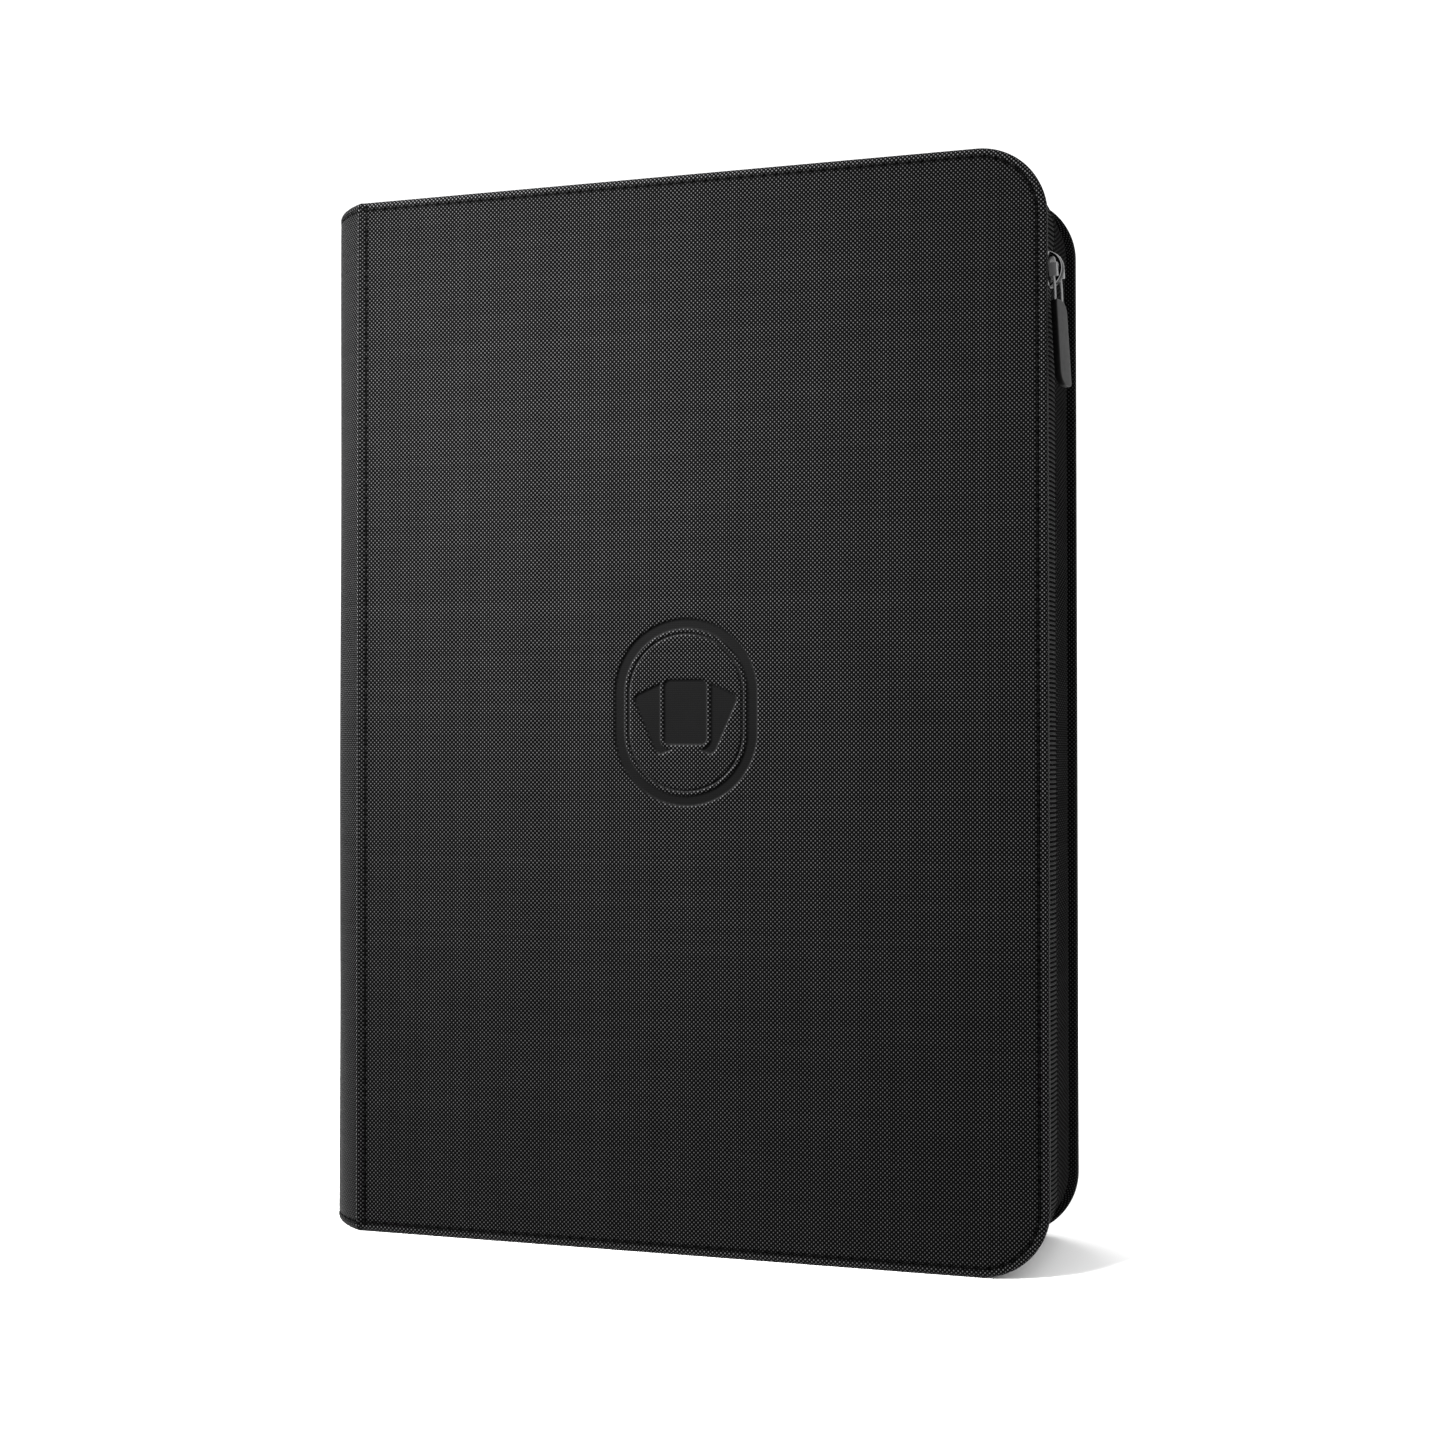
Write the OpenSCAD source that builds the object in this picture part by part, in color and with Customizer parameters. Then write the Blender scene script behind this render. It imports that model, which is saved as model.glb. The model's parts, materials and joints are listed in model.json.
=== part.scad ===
// Zip-round trading card binder: two stiff covers, a round spine, a soft wall
// that a zip closes on three sides, and fixed leaves of side-loading pockets.
// It stands on its bottom edge. X runs from the spine to the fore-edge, the
// front cover faces -Y and Z is up. The origin is the middle of its base.

/* [Covers] */
// Height of the closed binder
cover_h = 345; // [320:1:380]
// Width of a cover, from the spine fold to the fore-edge
cover_w = 231; // [229:1:260]
// Thickness of the closed binder, over both covers
closed_t = 66; // [60:1:90]
// Radius of the two fore-edge corners of a cover
corner_r = 21.5; // [16:0.5:30]
// Thickness of the woven outer skin
skin_t = 0.9; // [0.6:0.1:1.2]
// Thickness of the stiff board in a cover
board_t = 2.8; // [2:0.1:3.5]
// Thickness of the inner lining and of the skin's turned-in border
lining_t = 0.7; // [0.5:0.1:1]
// Width of the skin's border that is turned in over the board
turn_in = 12; // [8:1:18]

/* [Spine] */
// How far the round spine stands out past the folds
spine_bulge = 19.5; // [12:0.5:24]
// Thickness of the bent board in the spine
spine_board_t = 1.3; // [1:0.1:2]
// Thickness of the strip that holds the leaves
binding_strip_t = 3; // [2:0.5:4]
// Height of the strip that holds the leaves
binding_strip_h = 304; // [300:1:312]

/* [Zip wall] */
// How far the soft wall sits inside the covers' edge
wall_inset = 2.7; // [1.5:0.1:3]
// Thickness of the gusset fabric
gusset_t = 1.2; // [0.8:0.1:1.6]
// Thickness of the zip's tapes
tape_t = 0.8; // [0.5:0.1:1]
// Depth of the zip's centre line behind the front cover's face
zip_depth = 14; // [13:0.5:16]
// Width of the slit between the two tapes
zip_slit = 1.6; // [1.6:0.1:2]
// Width of the back tape
back_tape_w = 13; // [10:0.5:15]
// Thickness of the nylon coils behind the tapes
coil_t = 1.4; // [1:0.1:1.6]
// Width of each nylon coil
coil_w = 1.2; // [0.8:0.1:1.4]
// Gap between the spine fold and the wall's two ends
wall_start = 4; // [3.5:0.5:8]

/* [Slider and pull] */
// Height of the slider above the base
slider_z = 308.9; // [40:0.1:314]
// Turn of the slider and its pull towards the front cover, in degrees
slider_turn = 15; // [8:1:18]
// Length of the slider
slider_l = 11.5; // [11:0.5:13]
// Width of the slider
slider_w = 8; // [7.5:0.5:9]
// Length of the pull tab
tab_l = 26.5; // [20:0.5:32]
// Width of the pull tab
tab_w = 8.2; // [7.4:0.2:9]
// Thickness of the pull tab
tab_t = 2.1; // [1.8:0.1:2.3]
// Lean of the hanging pull away from the wall at its foot, in degrees
pull_lean = 3.5; // [0:0.5:5]

/* [Leaves] */
// Number of leaves
leaf_count = 20; // [10:1:20]
// Width of one card pocket
pocket_w = 66; // [64:0.5:66]
// Height of one card pocket
pocket_h = 94; // [91:0.5:94]
// Width of the weld lines round the pockets
weld_w = 2.5; // [1.5:0.5:3]
// Width of the leaf's margin at the spine
margin_w = 12; // [10:1:12]
// Thickness of the leaf's backing sheet
backing_t = 0.3; // [0.2:0.1:0.4]
// Thickness of the clear film over the pockets
film_t = 0.2; // [0.1:0.05:0.2]

/* [Emblem] */
// Width of the pressed badge on the front cover
badge_w = 48; // [36:1:56]
// Height of the pressed badge on the front cover
badge_h = 60; // [50:1:66]
// Height of the badge's middle above the base
badge_z = 172.5; // [120:0.5:220]
// Depth of the pressed lines
press_depth = 0.4; // [0.2:0.1:0.5]

/* [Hidden] */
$fn = 96;
// Small overlap for clean cuts
cut = 0.01;

// The slider's own frame has X out of the wall, Y across the zip and Z up.
// Its crown is a ring that the pull hangs from.
crown_w = 2.2;
crown_r = 5.9;
crown_t = 1;
crown_x = 0.3;

// The pull: a bar through the crown, a cheek and a wire leg at each end of it,
// and a tab. It turns about the bar.
pivot_x = 3.9;
pivot_z = 1.1;
bar_r = 0.7;
leg_r = 0.5;
leg_y = 2.6;
leg_l = 7.2;
leg_hold = 5;
cheek_gap = 0.7;
cheek_w = 1.3;
cheek_l = 4.3;
cheek_t = 2.8;
cheek_top = 0.45;
tab_top = cheek_top - cheek_l - leg_l;
tab_corner_r = 3;

// How far the tab's leaning foot stands out past the covers' fore-edge: its
// outer face, then the corner that points out the most
foot_lean = sin(pull_lean) * cos(slider_turn);
foot_x = (pivot_x + tab_t / 2 * cos(pull_lean)) * cos(slider_turn);
foot_corner = (tab_l - tab_top - tab_corner_r) * foot_lean + (tab_w / 2 - tab_corner_r) * sin(slider_turn);
foot_round = tab_corner_r * norm([foot_lean, sin(slider_turn)]);
pull_reach = foot_x + foot_corner + foot_round - wall_inset;

// X of the two spine folds, with the whole binder centred on the origin
fold_x = -(cover_w + pull_reach - spine_bulge) / 2;
// X of the covers' fore-edge
fore_x = fold_x + cover_w;
// Y of the outer face of either cover
face_y = closed_t / 2;
// Slit on each side of a fold, so that the folding bodies never overlap
fold_slit = 0.15;
cover_t = skin_t + board_t + lining_t;
// Y of the inner face of either cover
inner_y = face_y - cover_t;
// Gap between the board and the end of the skin at the fold
fold_rim = fold_slit + skin_t;

// Radius and centre of the round spine's outer face
spine_r = (face_y * face_y + spine_bulge * spine_bulge) / (2 * spine_bulge);
spine_x = fold_x - spine_bulge + spine_r;
spine_inner_r = spine_r - skin_t - spine_board_t;
// Face of the flat lining that closes the spine's hollow
spine_lining_x = fold_x - 0.4;
spine_lining_t = 1.2;
// Gap between the strip that holds the leaves and either cover
strip_gap = 0.6;
binding_strip_w = 2 * (inner_y - strip_gap);

// Outer face of the zip wall at the fore-edge
wall_x = fore_x - wall_inset;
// Y of the zip's centre line
zip_y = -face_y + zip_depth;
front_tape_y = zip_y - zip_slit / 2;
back_tape_y = zip_y + zip_slit / 2;
gusset_y = back_tape_y + back_tape_w;
stop_l = 3;
// The wall's cut-out runs this far past the wall's two ends
wall_overrun = 1;

// The slider's plates, on both sides of the wall, and the post between them
plate_t = 1;
outer_plate_x = 1.3;
inner_plate_x = -5.3;
inner_plate_t = 1.1;
inner_plate_less = 1.5;
post_gap = 0.3;
post_w = zip_slit - 2 * post_gap;
post_l = 4;
post_rise = 0.6;

// The leaves' roots lie side by side just past the binding strip
root_gap = 1.6;
root_x = spine_lining_x + binding_strip_t + root_gap;
// Plain edge above and below a leaf's pockets
leaf_edge = 2;
leaf_w = margin_w + 3 * (pocket_w + weld_w);
film_h = 3 * pocket_h + 4 * weld_w;
leaf_h = film_h + 2 * leaf_edge;
// Distance between two columns of film on a leaf
film_gap = 1;
// Distance from the first and last leaf to the covers
leaf_room = 3.1;
leaf_span = 2 * (inner_y - leaf_room);
leaf_pitch = leaf_span / (leaf_count - 1);

// The emblem: a band and a thin line round a fan of three cards
badge_band = 3.4;
badge_line = 0.6;
badge_line_gap = 1.2;
card_w = 14.5;
card_h = 21;
card_r = 2.2;
card_gap = 1.2;
// Tilt of the two side cards, in degrees, and where their middles are
card_fan = 24;
card_out = 7;
card_down = 1.5;

function two_digits(n) = str(n < 10 ? "0" : "", n);
function leaf_name(n) = str("leaf_", two_digits(n), "_backing");
function film_name(n) = str("leaf_", two_digits(n), "_pockets");
// The first leaf is the one behind the front cover
function leaf_y(n) = -leaf_span / 2 + (n - 1) * leaf_pitch;

// Lays a flat outline, drawn in X and Z, between two Y positions
module upright(y0, y1) {
    translate([0, y1, 0])
        rotate([90, 0, 0])
            linear_extrude(y1 - y0)
                children();
}

// A cover's outline, square at the spine fold and round at the fore-edge,
// drawn in by inset on three sides
module cover_outline(inset, start) {
    r = corner_r - inset;
    end = fore_x - inset;
    translate([start, inset])
        square([end - r - start, cover_h - 2 * inset]);
    translate([end - r - cut, inset + r])
        square([r + cut, cover_h - 2 * inset - 2 * r]);
    for (z = [inset + r, cover_h - inset - r])
        translate([end - r, z])
            circle(r);
}

// A wall that follows a cover's outline on three sides
module zip_wall(inset, thickness, y0, y1, start = wall_start) {
    upright(y0, y1)
        difference() {
            cover_outline(inset, fold_x + start);
            cover_outline(inset + thickness, fold_x + start - wall_overrun);
        }
}

// The parts of a cover are drawn for the front cover: the skin's outer face
// is at -Y, and the back cover is its mirror image
module cover_skin_blank() {
    difference() {
        upright(-face_y, -inner_y)
            cover_outline(0, fold_x + fold_slit);
        upright(-face_y + skin_t, -inner_y - lining_t)
            cover_outline(skin_t, fold_x + fold_rim);
        upright(-inner_y - lining_t - cut, -inner_y + cut)
            cover_outline(turn_in, fold_x + fold_rim);
    }
}

module cover_board() {
    upright(-face_y + skin_t, -inner_y - lining_t)
        cover_outline(skin_t, fold_x + fold_rim);
}

module cover_lining() {
    upright(-inner_y - lining_t, -inner_y)
        cover_outline(turn_in, fold_x + fold_rim);
}

module back_side() {
    mirror([0, 1, 0])
        children();
}

// A rounded rectangle about its own middle
module rounded(w, h, r) {
    square([w - 2 * r, h], center = true);
    square([w, h - 2 * r], center = true);
    for (x = [-w / 2 + r, w / 2 - r], y = [-h / 2 + r, h / 2 - r])
        translate([x, y])
            circle(r);
}

module line_outline(w, h, r, line) {
    difference() {
        rounded(w, h, r);
        rounded(w - 2 * line, h - 2 * line, r - line);
    }
}

// A round-ended badge with a fan of three blank cards
module badge() {
    badge_r = badge_w / 2 - cut;
    inner = 2 * (badge_band + badge_line_gap);
    line_outline(badge_w, badge_h, badge_r, badge_band);
    line_outline(badge_w - inner, badge_h - inner, badge_r - inner / 2, badge_line);
    for (side = [-1, 1])
        difference() {
            translate([side * card_out, -card_down])
                rotate(-side * card_fan)
                    rounded(card_w, card_h, card_r);
            rounded(card_w + 2 * card_gap, card_h + 2 * card_gap, card_r + card_gap);
        }
    rounded(card_w, card_h, card_r);
}

// A tape's end stops, one at the wall's upper end and one at its lower end
module zip_stops(y0, y1) {
    for (z = [wall_inset + tape_t, cover_h - wall_inset - tape_t - coil_t])
        translate([fold_x + wall_start, y0, z])
            cube([stop_l, y1 - y0, coil_t]);
}

module slider_place() {
    translate([wall_x, zip_y, slider_z])
        rotate([0, 0, -slider_turn])
            children();
}

// Hangs the pull on the crown, its own frame at the middle of the bar
module pull_place() {
    slider_place()
        translate([pivot_x, 0, pivot_z])
            rotate([0, -pull_lean, 0])
                children();
}

// Stands an outline, drawn in Y and Z, up along X from x0 over a thickness
module outward(x0, thickness) {
    translate([x0, 0, 0])
        rotate([90, 0, 90])
            linear_extrude(thickness)
                children();
}

// A ring piece seen from the side, drawn in X and Z, centred on Y
module across(width) {
    translate([0, width / 2, 0])
        rotate([90, 0, 0])
            linear_extrude(width)
                children();
}

module front_cover_skin() {
    color([0.10, 0.10, 0.10])
        difference() {
            cover_skin_blank();
            translate([0, 0, badge_z])
                upright(-face_y - 1, -face_y + press_depth)
                    translate([fold_x + cover_w / 2, 0])
                        badge();
        }
}

module front_board() {
    color([0.45, 0.43, 0.40])
        cover_board();
}

module front_lining() {
    color([0.06, 0.06, 0.06])
        cover_lining();
}

module back_cover_skin() {
    color([0.10, 0.10, 0.10])
        back_side()
            cover_skin_blank();
}

module back_board() {
    color([0.45, 0.43, 0.40])
        back_side()
            cover_board();
}

module back_lining() {
    color([0.06, 0.06, 0.06])
        back_side()
            cover_lining();
}

module gusset() {
    color([0.07, 0.07, 0.07])
        zip_wall(wall_inset, gusset_t, gusset_y, inner_y);
}

module zip_tape_back() {
    color([0.09, 0.09, 0.09])
        zip_wall(wall_inset, tape_t, back_tape_y, gusset_y);
}

module zip_tape_front() {
    color([0.09, 0.09, 0.09])
        zip_wall(wall_inset, tape_t, -inner_y, front_tape_y);
}

module zip_coil_back() {
    color([0.05, 0.05, 0.05])
        zip_wall(wall_inset + tape_t, coil_t, back_tape_y, back_tape_y + coil_w,
                 wall_start + stop_l);
}

module zip_coil_front() {
    color([0.05, 0.05, 0.05])
        zip_wall(wall_inset + tape_t, coil_t, front_tape_y - coil_w, front_tape_y,
                 wall_start + stop_l);
}

module zip_stops_back() {
    color([0.30, 0.30, 0.31])
        zip_stops(back_tape_y, back_tape_y + 2 * coil_w);
}

module zip_stops_front() {
    color([0.30, 0.30, 0.31])
        zip_stops(front_tape_y - 2 * coil_w, front_tape_y);
}

// A bent layer of the spine between two radii, cut off at the folds
module spine_layer(outer, inner) {
    linear_extrude(cover_h)
        difference() {
            translate([spine_x, 0])
                circle(outer, $fn = 180);
            translate([spine_x, 0])
                circle(inner, $fn = 180);
            translate([fold_x - fold_slit, -outer - 1])
                square([2 * outer + 2, 2 * outer + 2]);
        }
}

module spine_skin() {
    color([0.10, 0.10, 0.10])
        spine_layer(spine_r, spine_r - skin_t);
}

module spine_board() {
    color([0.45, 0.43, 0.40])
        spine_layer(spine_r - skin_t, spine_inner_r);
}

// A flat panel that closes the spine's hollow like a string closes a bow
module spine_lining() {
    color([0.06, 0.06, 0.06])
        linear_extrude(cover_h)
            intersection() {
                translate([spine_x, 0])
                    circle(spine_inner_r, $fn = 180);
                translate([spine_lining_x - spine_lining_t, -face_y])
                    square([spine_lining_t, closed_t]);
            }
}

module binding_strip() {
    color([0.05, 0.05, 0.05])
        translate([spine_lining_x, -binding_strip_w / 2, (cover_h - binding_strip_h) / 2])
            cube([binding_strip_t, binding_strip_w, binding_strip_h]);
}

module slider_body() {
    color([0.16, 0.16, 0.17]) {
        slider_place() {
            outward(outer_plate_x, plate_t)
                rounded(slider_w, slider_l, slider_w / 2 - cut);
            outward(inner_plate_x, inner_plate_t)
                rounded(slider_w - inner_plate_less, slider_l - inner_plate_less,
                        (slider_w - inner_plate_less) / 2 - cut);
            across(crown_w)
                difference() {
                    translate([crown_x, 0])
                        circle(crown_r);
                    translate([crown_x, 0])
                        circle(crown_r - crown_t);
                    translate([outer_plate_x + plate_t / 2 - 2 * crown_r, -crown_r - 1])
                        square([2 * crown_r, 2 * crown_r + 2]);
                }
        }
        translate([wall_x + inner_plate_x + inner_plate_t / 2, zip_y - post_w / 2, slider_z + post_rise])
            cube([outer_plate_x - inner_plate_x, post_w, post_l]);
    }
}

module pull_loop() {
    color([0.55, 0.55, 0.56])
        pull_place() {
            rotate([90, 0, 0])
                cylinder(h = crown_w + 2 * cheek_gap + cheek_w, r = bar_r, center = true);
            for (side = [-1, 1]) {
                translate([-cheek_t / 2,
                           side * (crown_w / 2 + cheek_gap + cheek_w / 2) - cheek_w / 2,
                           cheek_top - cheek_l])
                    cube([cheek_t, cheek_w, cheek_l]);
                translate([0, side * leg_y, tab_top - leg_hold])
                    cylinder(h = leg_l + leg_hold + leg_r, r = leg_r);
            }
        }
}

module pull_tab() {
    color([0.28, 0.28, 0.28])
        pull_place()
            difference() {
                outward(-tab_t / 2, tab_t)
                    translate([0, tab_top - tab_l / 2])
                        rounded(tab_w, tab_l, tab_corner_r);
                for (side = [-1, 1])
                    translate([0, side * leg_y, tab_top - leg_hold])
                        cylinder(h = 2 * leg_hold, r = leg_r);
            }
}

module leaf_backing(n) {
    color([0.08, 0.08, 0.08])
        translate([root_x, leaf_y(n) - backing_t / 2, (cover_h - leaf_h) / 2])
            cube([leaf_w, backing_t, leaf_h]);
}

// The films are one strip for each column of pockets, on both faces. Each
// pocket is open on the strip's side next to the spine.
module leaf_pockets(n) {
    color([0.75, 0.78, 0.80, 0.4])
        for (column = [0:2], side = [-1, 1])
            translate([root_x + margin_w + column * (pocket_w + weld_w) + film_gap / 2,
                       leaf_y(n) + side * (backing_t + film_t) / 2 - film_t / 2,
                       (cover_h - film_h) / 2])
                cube([pocket_w + weld_w - film_gap, film_t, film_h]);
}

back_cover_skin();
back_board();
back_lining();
gusset();
zip_tape_back();
zip_coil_back();
zip_stops_back();
spine_skin();
spine_board();
spine_lining();
binding_strip();
front_cover_skin();
front_board();
front_lining();
zip_tape_front();
zip_coil_front();
zip_stops_front();
slider_body();
pull_loop();
pull_tab();
for (n = [1:leaf_count]) {
    leaf_backing(n);
    leaf_pockets(n);
}
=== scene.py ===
"""The looks of a zip-round trading card binder, closed and standing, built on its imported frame."""

import json
import math

import bmesh
import bpy
import numpy as np
from mathutils import Matrix, Vector
from mathutils.geometry import delaunay_2d_cdt


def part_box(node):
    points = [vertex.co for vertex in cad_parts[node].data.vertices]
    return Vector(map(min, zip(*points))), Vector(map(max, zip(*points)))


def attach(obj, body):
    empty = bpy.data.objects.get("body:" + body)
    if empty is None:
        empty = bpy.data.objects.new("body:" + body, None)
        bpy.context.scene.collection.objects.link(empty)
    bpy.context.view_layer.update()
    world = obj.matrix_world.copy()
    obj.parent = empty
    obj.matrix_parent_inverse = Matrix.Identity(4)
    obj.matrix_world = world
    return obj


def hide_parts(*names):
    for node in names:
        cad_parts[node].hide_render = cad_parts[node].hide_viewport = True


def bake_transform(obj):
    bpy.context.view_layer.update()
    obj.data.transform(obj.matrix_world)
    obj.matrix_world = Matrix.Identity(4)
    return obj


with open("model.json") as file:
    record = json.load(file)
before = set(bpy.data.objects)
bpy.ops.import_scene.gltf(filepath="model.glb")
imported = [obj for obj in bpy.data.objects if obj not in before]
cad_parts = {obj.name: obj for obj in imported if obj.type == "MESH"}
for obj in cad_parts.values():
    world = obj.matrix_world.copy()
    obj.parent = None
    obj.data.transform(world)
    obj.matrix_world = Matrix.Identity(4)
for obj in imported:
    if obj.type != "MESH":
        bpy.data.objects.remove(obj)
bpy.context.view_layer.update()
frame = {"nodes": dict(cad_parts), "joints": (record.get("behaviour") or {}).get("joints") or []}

MM = 0.001


def corners(node):
    """The lowest and highest corner of a CAD node, in millimetres."""
    low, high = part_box(node)
    return np.array(low) / MM, np.array(high) / MM


def joint(name):
    return next(j for j in frame["joints"] if j["name"] == name)


# ---- sizes, read from the frame ----
COVER_LOW, COVER_HIGH = corners("front_cover_skin")
FOLD = joint("front_fold")["pos_m"][0] / MM
FORE = COVER_HIGH[0]
TALL = COVER_HIGH[2]
FACE = -COVER_LOW[1]
COVER_T = COVER_HIGH[1] - COVER_LOW[1]
INNER = FACE - COVER_T
CORNER = 21.5
SKIN = 0.75
TURN_IN = 12.0

SPINE_LOW, SPINE_HIGH = corners("spine_skin")
BULGE = FOLD - SPINE_LOW[0]
SPINE_R = (FACE * FACE + BULGE * BULGE) / (2 * BULGE)
SPINE_X = SPINE_LOW[0] + SPINE_R
SPINE_HALF = SPINE_R * math.asin(FACE / SPINE_R)

WALL_X = corners("gusset")[1][0]
WALL_INSET = FORE - WALL_X
WALL_START = corners("gusset")[0][0]
GUSSET_Y = corners("gusset")[0][1]
FRONT_TAPE_EDGE = corners("zip_tape_front")[1][1]
BACK_TAPE_EDGE = corners("zip_tape_back")[0][1]
ZIP_Y = (FRONT_TAPE_EDGE + BACK_TAPE_EDGE) / 2
TAPE_T = 0.8
GUSSET_T = 1.2

# ---- what the cloth, the seams and the zip are like ----
STITCH = 3.9
STATIONS = 5
SEAM = 2.8
FOLD_SEAM = 2.4
FOLD_CLOTH = 1.5
EDGE_R = 1.5
INNER_EDGE_R = 1.2
THREAD = 0.3
TOOTH = 1.5
PRESS = 0.58
# how much brighter the band by a cover's edge is painted: a painted highlight
EDGE_BAND_HIGHLIGHT = 0.9
SIDE = {"front": -1, "back": 1}


def smooth(x):
    """Rises smoothly from 0 to 1 as x does."""
    x = np.clip(x, 0, 1)
    return x * x * (3 - 2 * x)


def from_flat(flat, y):
    """Points or directions from (x, z) pairs and their y."""
    return np.stack(np.broadcast_arrays(flat[..., 0], y, flat[..., 1]), -1)


def upright(x, y, z):
    """A grid of points from outlines in x and y, one at each height z."""
    return np.stack(np.broadcast_arrays(x, y, z[:, None]), -1)


# ---- meshes ----
def quads(rows, cols, ring):
    """The faces of a grid of points. A ring closes across its columns."""
    row = np.arange(rows - 1)[:, None]
    col = np.arange(cols if ring else cols - 1)[None, :]
    after = (col + 1) % cols
    near = row * cols + col
    far = near + cols
    return np.stack([near, row * cols + after, (row + 1) * cols + after, far], -1).reshape(-1, 4)


class Shape:
    """Points in millimetres and the faces between them, gathered for one mesh."""

    def __init__(self):
        self.points = []
        self.faces = []
        self.cloth = []
        self.press = []
        self.seam = []
        self.count = 0

    def add(self, points, faces, cloth=None, press=None, seam=None):
        points = np.asarray(points, float).reshape(-1, 3)
        if cloth is None:
            cloth = points[:, [0, 2]]
        if press is None:
            press = np.zeros(len(points))
        if seam is None:
            seam = np.zeros(len(points))
        self.points.append(points)
        self.cloth.append(np.asarray(cloth, float).reshape(-1, 2))
        self.press.append(np.asarray(press, float).reshape(-1))
        self.seam.append(np.asarray(seam, float).reshape(-1))
        self.faces += (np.asarray(faces) + self.count).tolist()
        self.count += len(points)

    def polygon(self, indices):
        self.faces.append(list(indices))

    def grid(self, points, ring=False, caps=False, cloth=None, press=None, seam=None):
        rows, cols = points.shape[:2]
        first = self.count
        self.add(points, quads(rows, cols, ring), cloth, press, seam)
        if caps:
            self.polygon(range(first, first + cols))
            self.polygon(range(first + (rows - 1) * cols, first + rows * cols))

    def tubes(self, centres, across, outward, radius, sides=6):
        """Round tubes, one for each row of centres, about the two directions given at every centre."""
        turn = np.arange(sides) * 2 * math.pi / sides
        ring = np.cos(turn)[:, None] * across[..., None, :] + np.sin(turn)[:, None] * outward[..., None, :]
        points = centres[..., None, :] + ring * radius[..., None, None]
        for tube in points:
            self.grid(tube, ring=True, caps=True)


def build(name, shape, material, body=None, stands_for=(), thick=0.0, facing=None, weld=0.0):
    """Makes one piece. An open surface's outside is turned to face a direction before it is thickened."""
    mesh = bpy.data.meshes.new(name)
    mesh.from_pydata((np.concatenate(shape.points) * MM).tolist(), [], shape.faces)
    cloth = mesh.attributes.new("cloth", "FLOAT2", "POINT")
    cloth.data.foreach_set("vector", np.concatenate(shape.cloth).astype(np.float32).ravel())
    for key, values in (("press", shape.press), ("seam", shape.seam)):
        made = mesh.attributes.new(key, "FLOAT", "POINT")
        made.data.foreach_set("value", np.concatenate(values).astype(np.float32))
    mend(mesh, weld, facing)
    mesh.shade_smooth()
    mesh.materials.append(material)
    piece = bpy.data.objects.new(name, mesh)
    bpy.context.scene.collection.objects.link(piece)
    if thick:
        solid = piece.modifiers.new("thickness", "SOLIDIFY")
        solid.thickness = thick * MM
        solid.offset = -1
    if body:
        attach(piece, body)
    if stands_for:
        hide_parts(*stands_for)
    return piece


def mend(mesh, weld, facing):
    """Joins points that coincide and makes the faces' outsides agree."""
    work = bmesh.new()
    work.from_mesh(mesh)
    if weld:
        bmesh.ops.remove_doubles(work, verts=work.verts, dist=weld * MM)
    bmesh.ops.recalc_face_normals(work, faces=work.faces)
    if facing is not None:
        direction = Vector(facing)
        if sum(f.normal.dot(direction) * f.calc_area() for f in work.faces) < 0:
            bmesh.ops.reverse_faces(work, faces=work.faces)
    work.to_mesh(mesh)
    work.free()


# ---- the line round a cover's three free edges ----
def edge_length(start, inset):
    return 2 * (FORE - CORNER - start) + TALL - 2 * CORNER + math.pi * (CORNER - inset)


def edge_at(s, start, inset):
    """Points (x, z) and outward directions at distances s along a line inside the three free edges of a
    cover: from start at the top, round the fore-edge, back to start at the foot."""
    r = CORNER - inset
    run = FORE - CORNER - start
    side = TALL - 2 * CORNER
    quarter = math.pi / 2 * r
    lower = run + quarter + side
    angle = np.clip((s - run) / r, 0, math.pi / 2) + np.clip((s - lower) / r, 0, math.pi / 2)
    out = np.stack([np.sin(angle), np.cos(angle)], -1)
    x = start + np.clip(s, 0, run) - np.clip(s - lower - quarter, 0, run)
    z = TALL - CORNER - np.clip(s - run - quarter, 0, side)
    return np.stack([x, z], -1) + r * out, out


def seam_holes(s, wide=0.45):
    """1 where the needle went through, along a seam, and 0 between."""
    away = np.abs((s / STITCH + 0.5) % 1 - 0.5) * STITCH
    return np.exp(-(away / wide) ** 2)


def seam_dip(off, s):
    """How deep the cloth is pulled in at a distance off the seam's line."""
    return 0.2 * np.exp(-(off / 0.6) ** 2) + 0.38 * seam_holes(s) * np.exp(-(off / 0.5) ** 2)


def seam_shade(off, s):
    """How much of a seam's shadow lies at a distance off its line, 0 to 1."""
    return np.exp(-(off / 0.75) ** 4) * (0.25 + 0.75 * seam_holes(s, 1.0))


def waviness(x, z):
    """The slight unevenness of cloth glued over board."""
    slow = np.sin(x / 23 + 0.6 * np.sin(z / 41)) * np.sin(z / 31 + 1.1)
    return 0.06 * slow + 0.03 * np.sin(x / 9.5 + z / 17)


# ---- the pressed badge: a round-ended frame and a fan of three blank cards ----
BADGE_X = FOLD + (FORE - FOLD) / 2
BADGE_Z = TALL / 2
BADGE_W = 48.0
BADGE_H = 60.0
BAND = 3.4
CARD_W = 14.5
CARD_H = 21.0
FAN = math.radians(24)


def inside_rounded(x, z, w, h, r):
    """Distance outside a rounded rectangle about the origin, below 0 inside it."""
    qx = np.abs(x) - w / 2 + r
    qz = np.abs(z) - h / 2 + r
    return np.hypot(np.maximum(qx, 0), np.maximum(qz, 0)) + np.minimum(np.maximum(qx, qz), 0) - r


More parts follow.
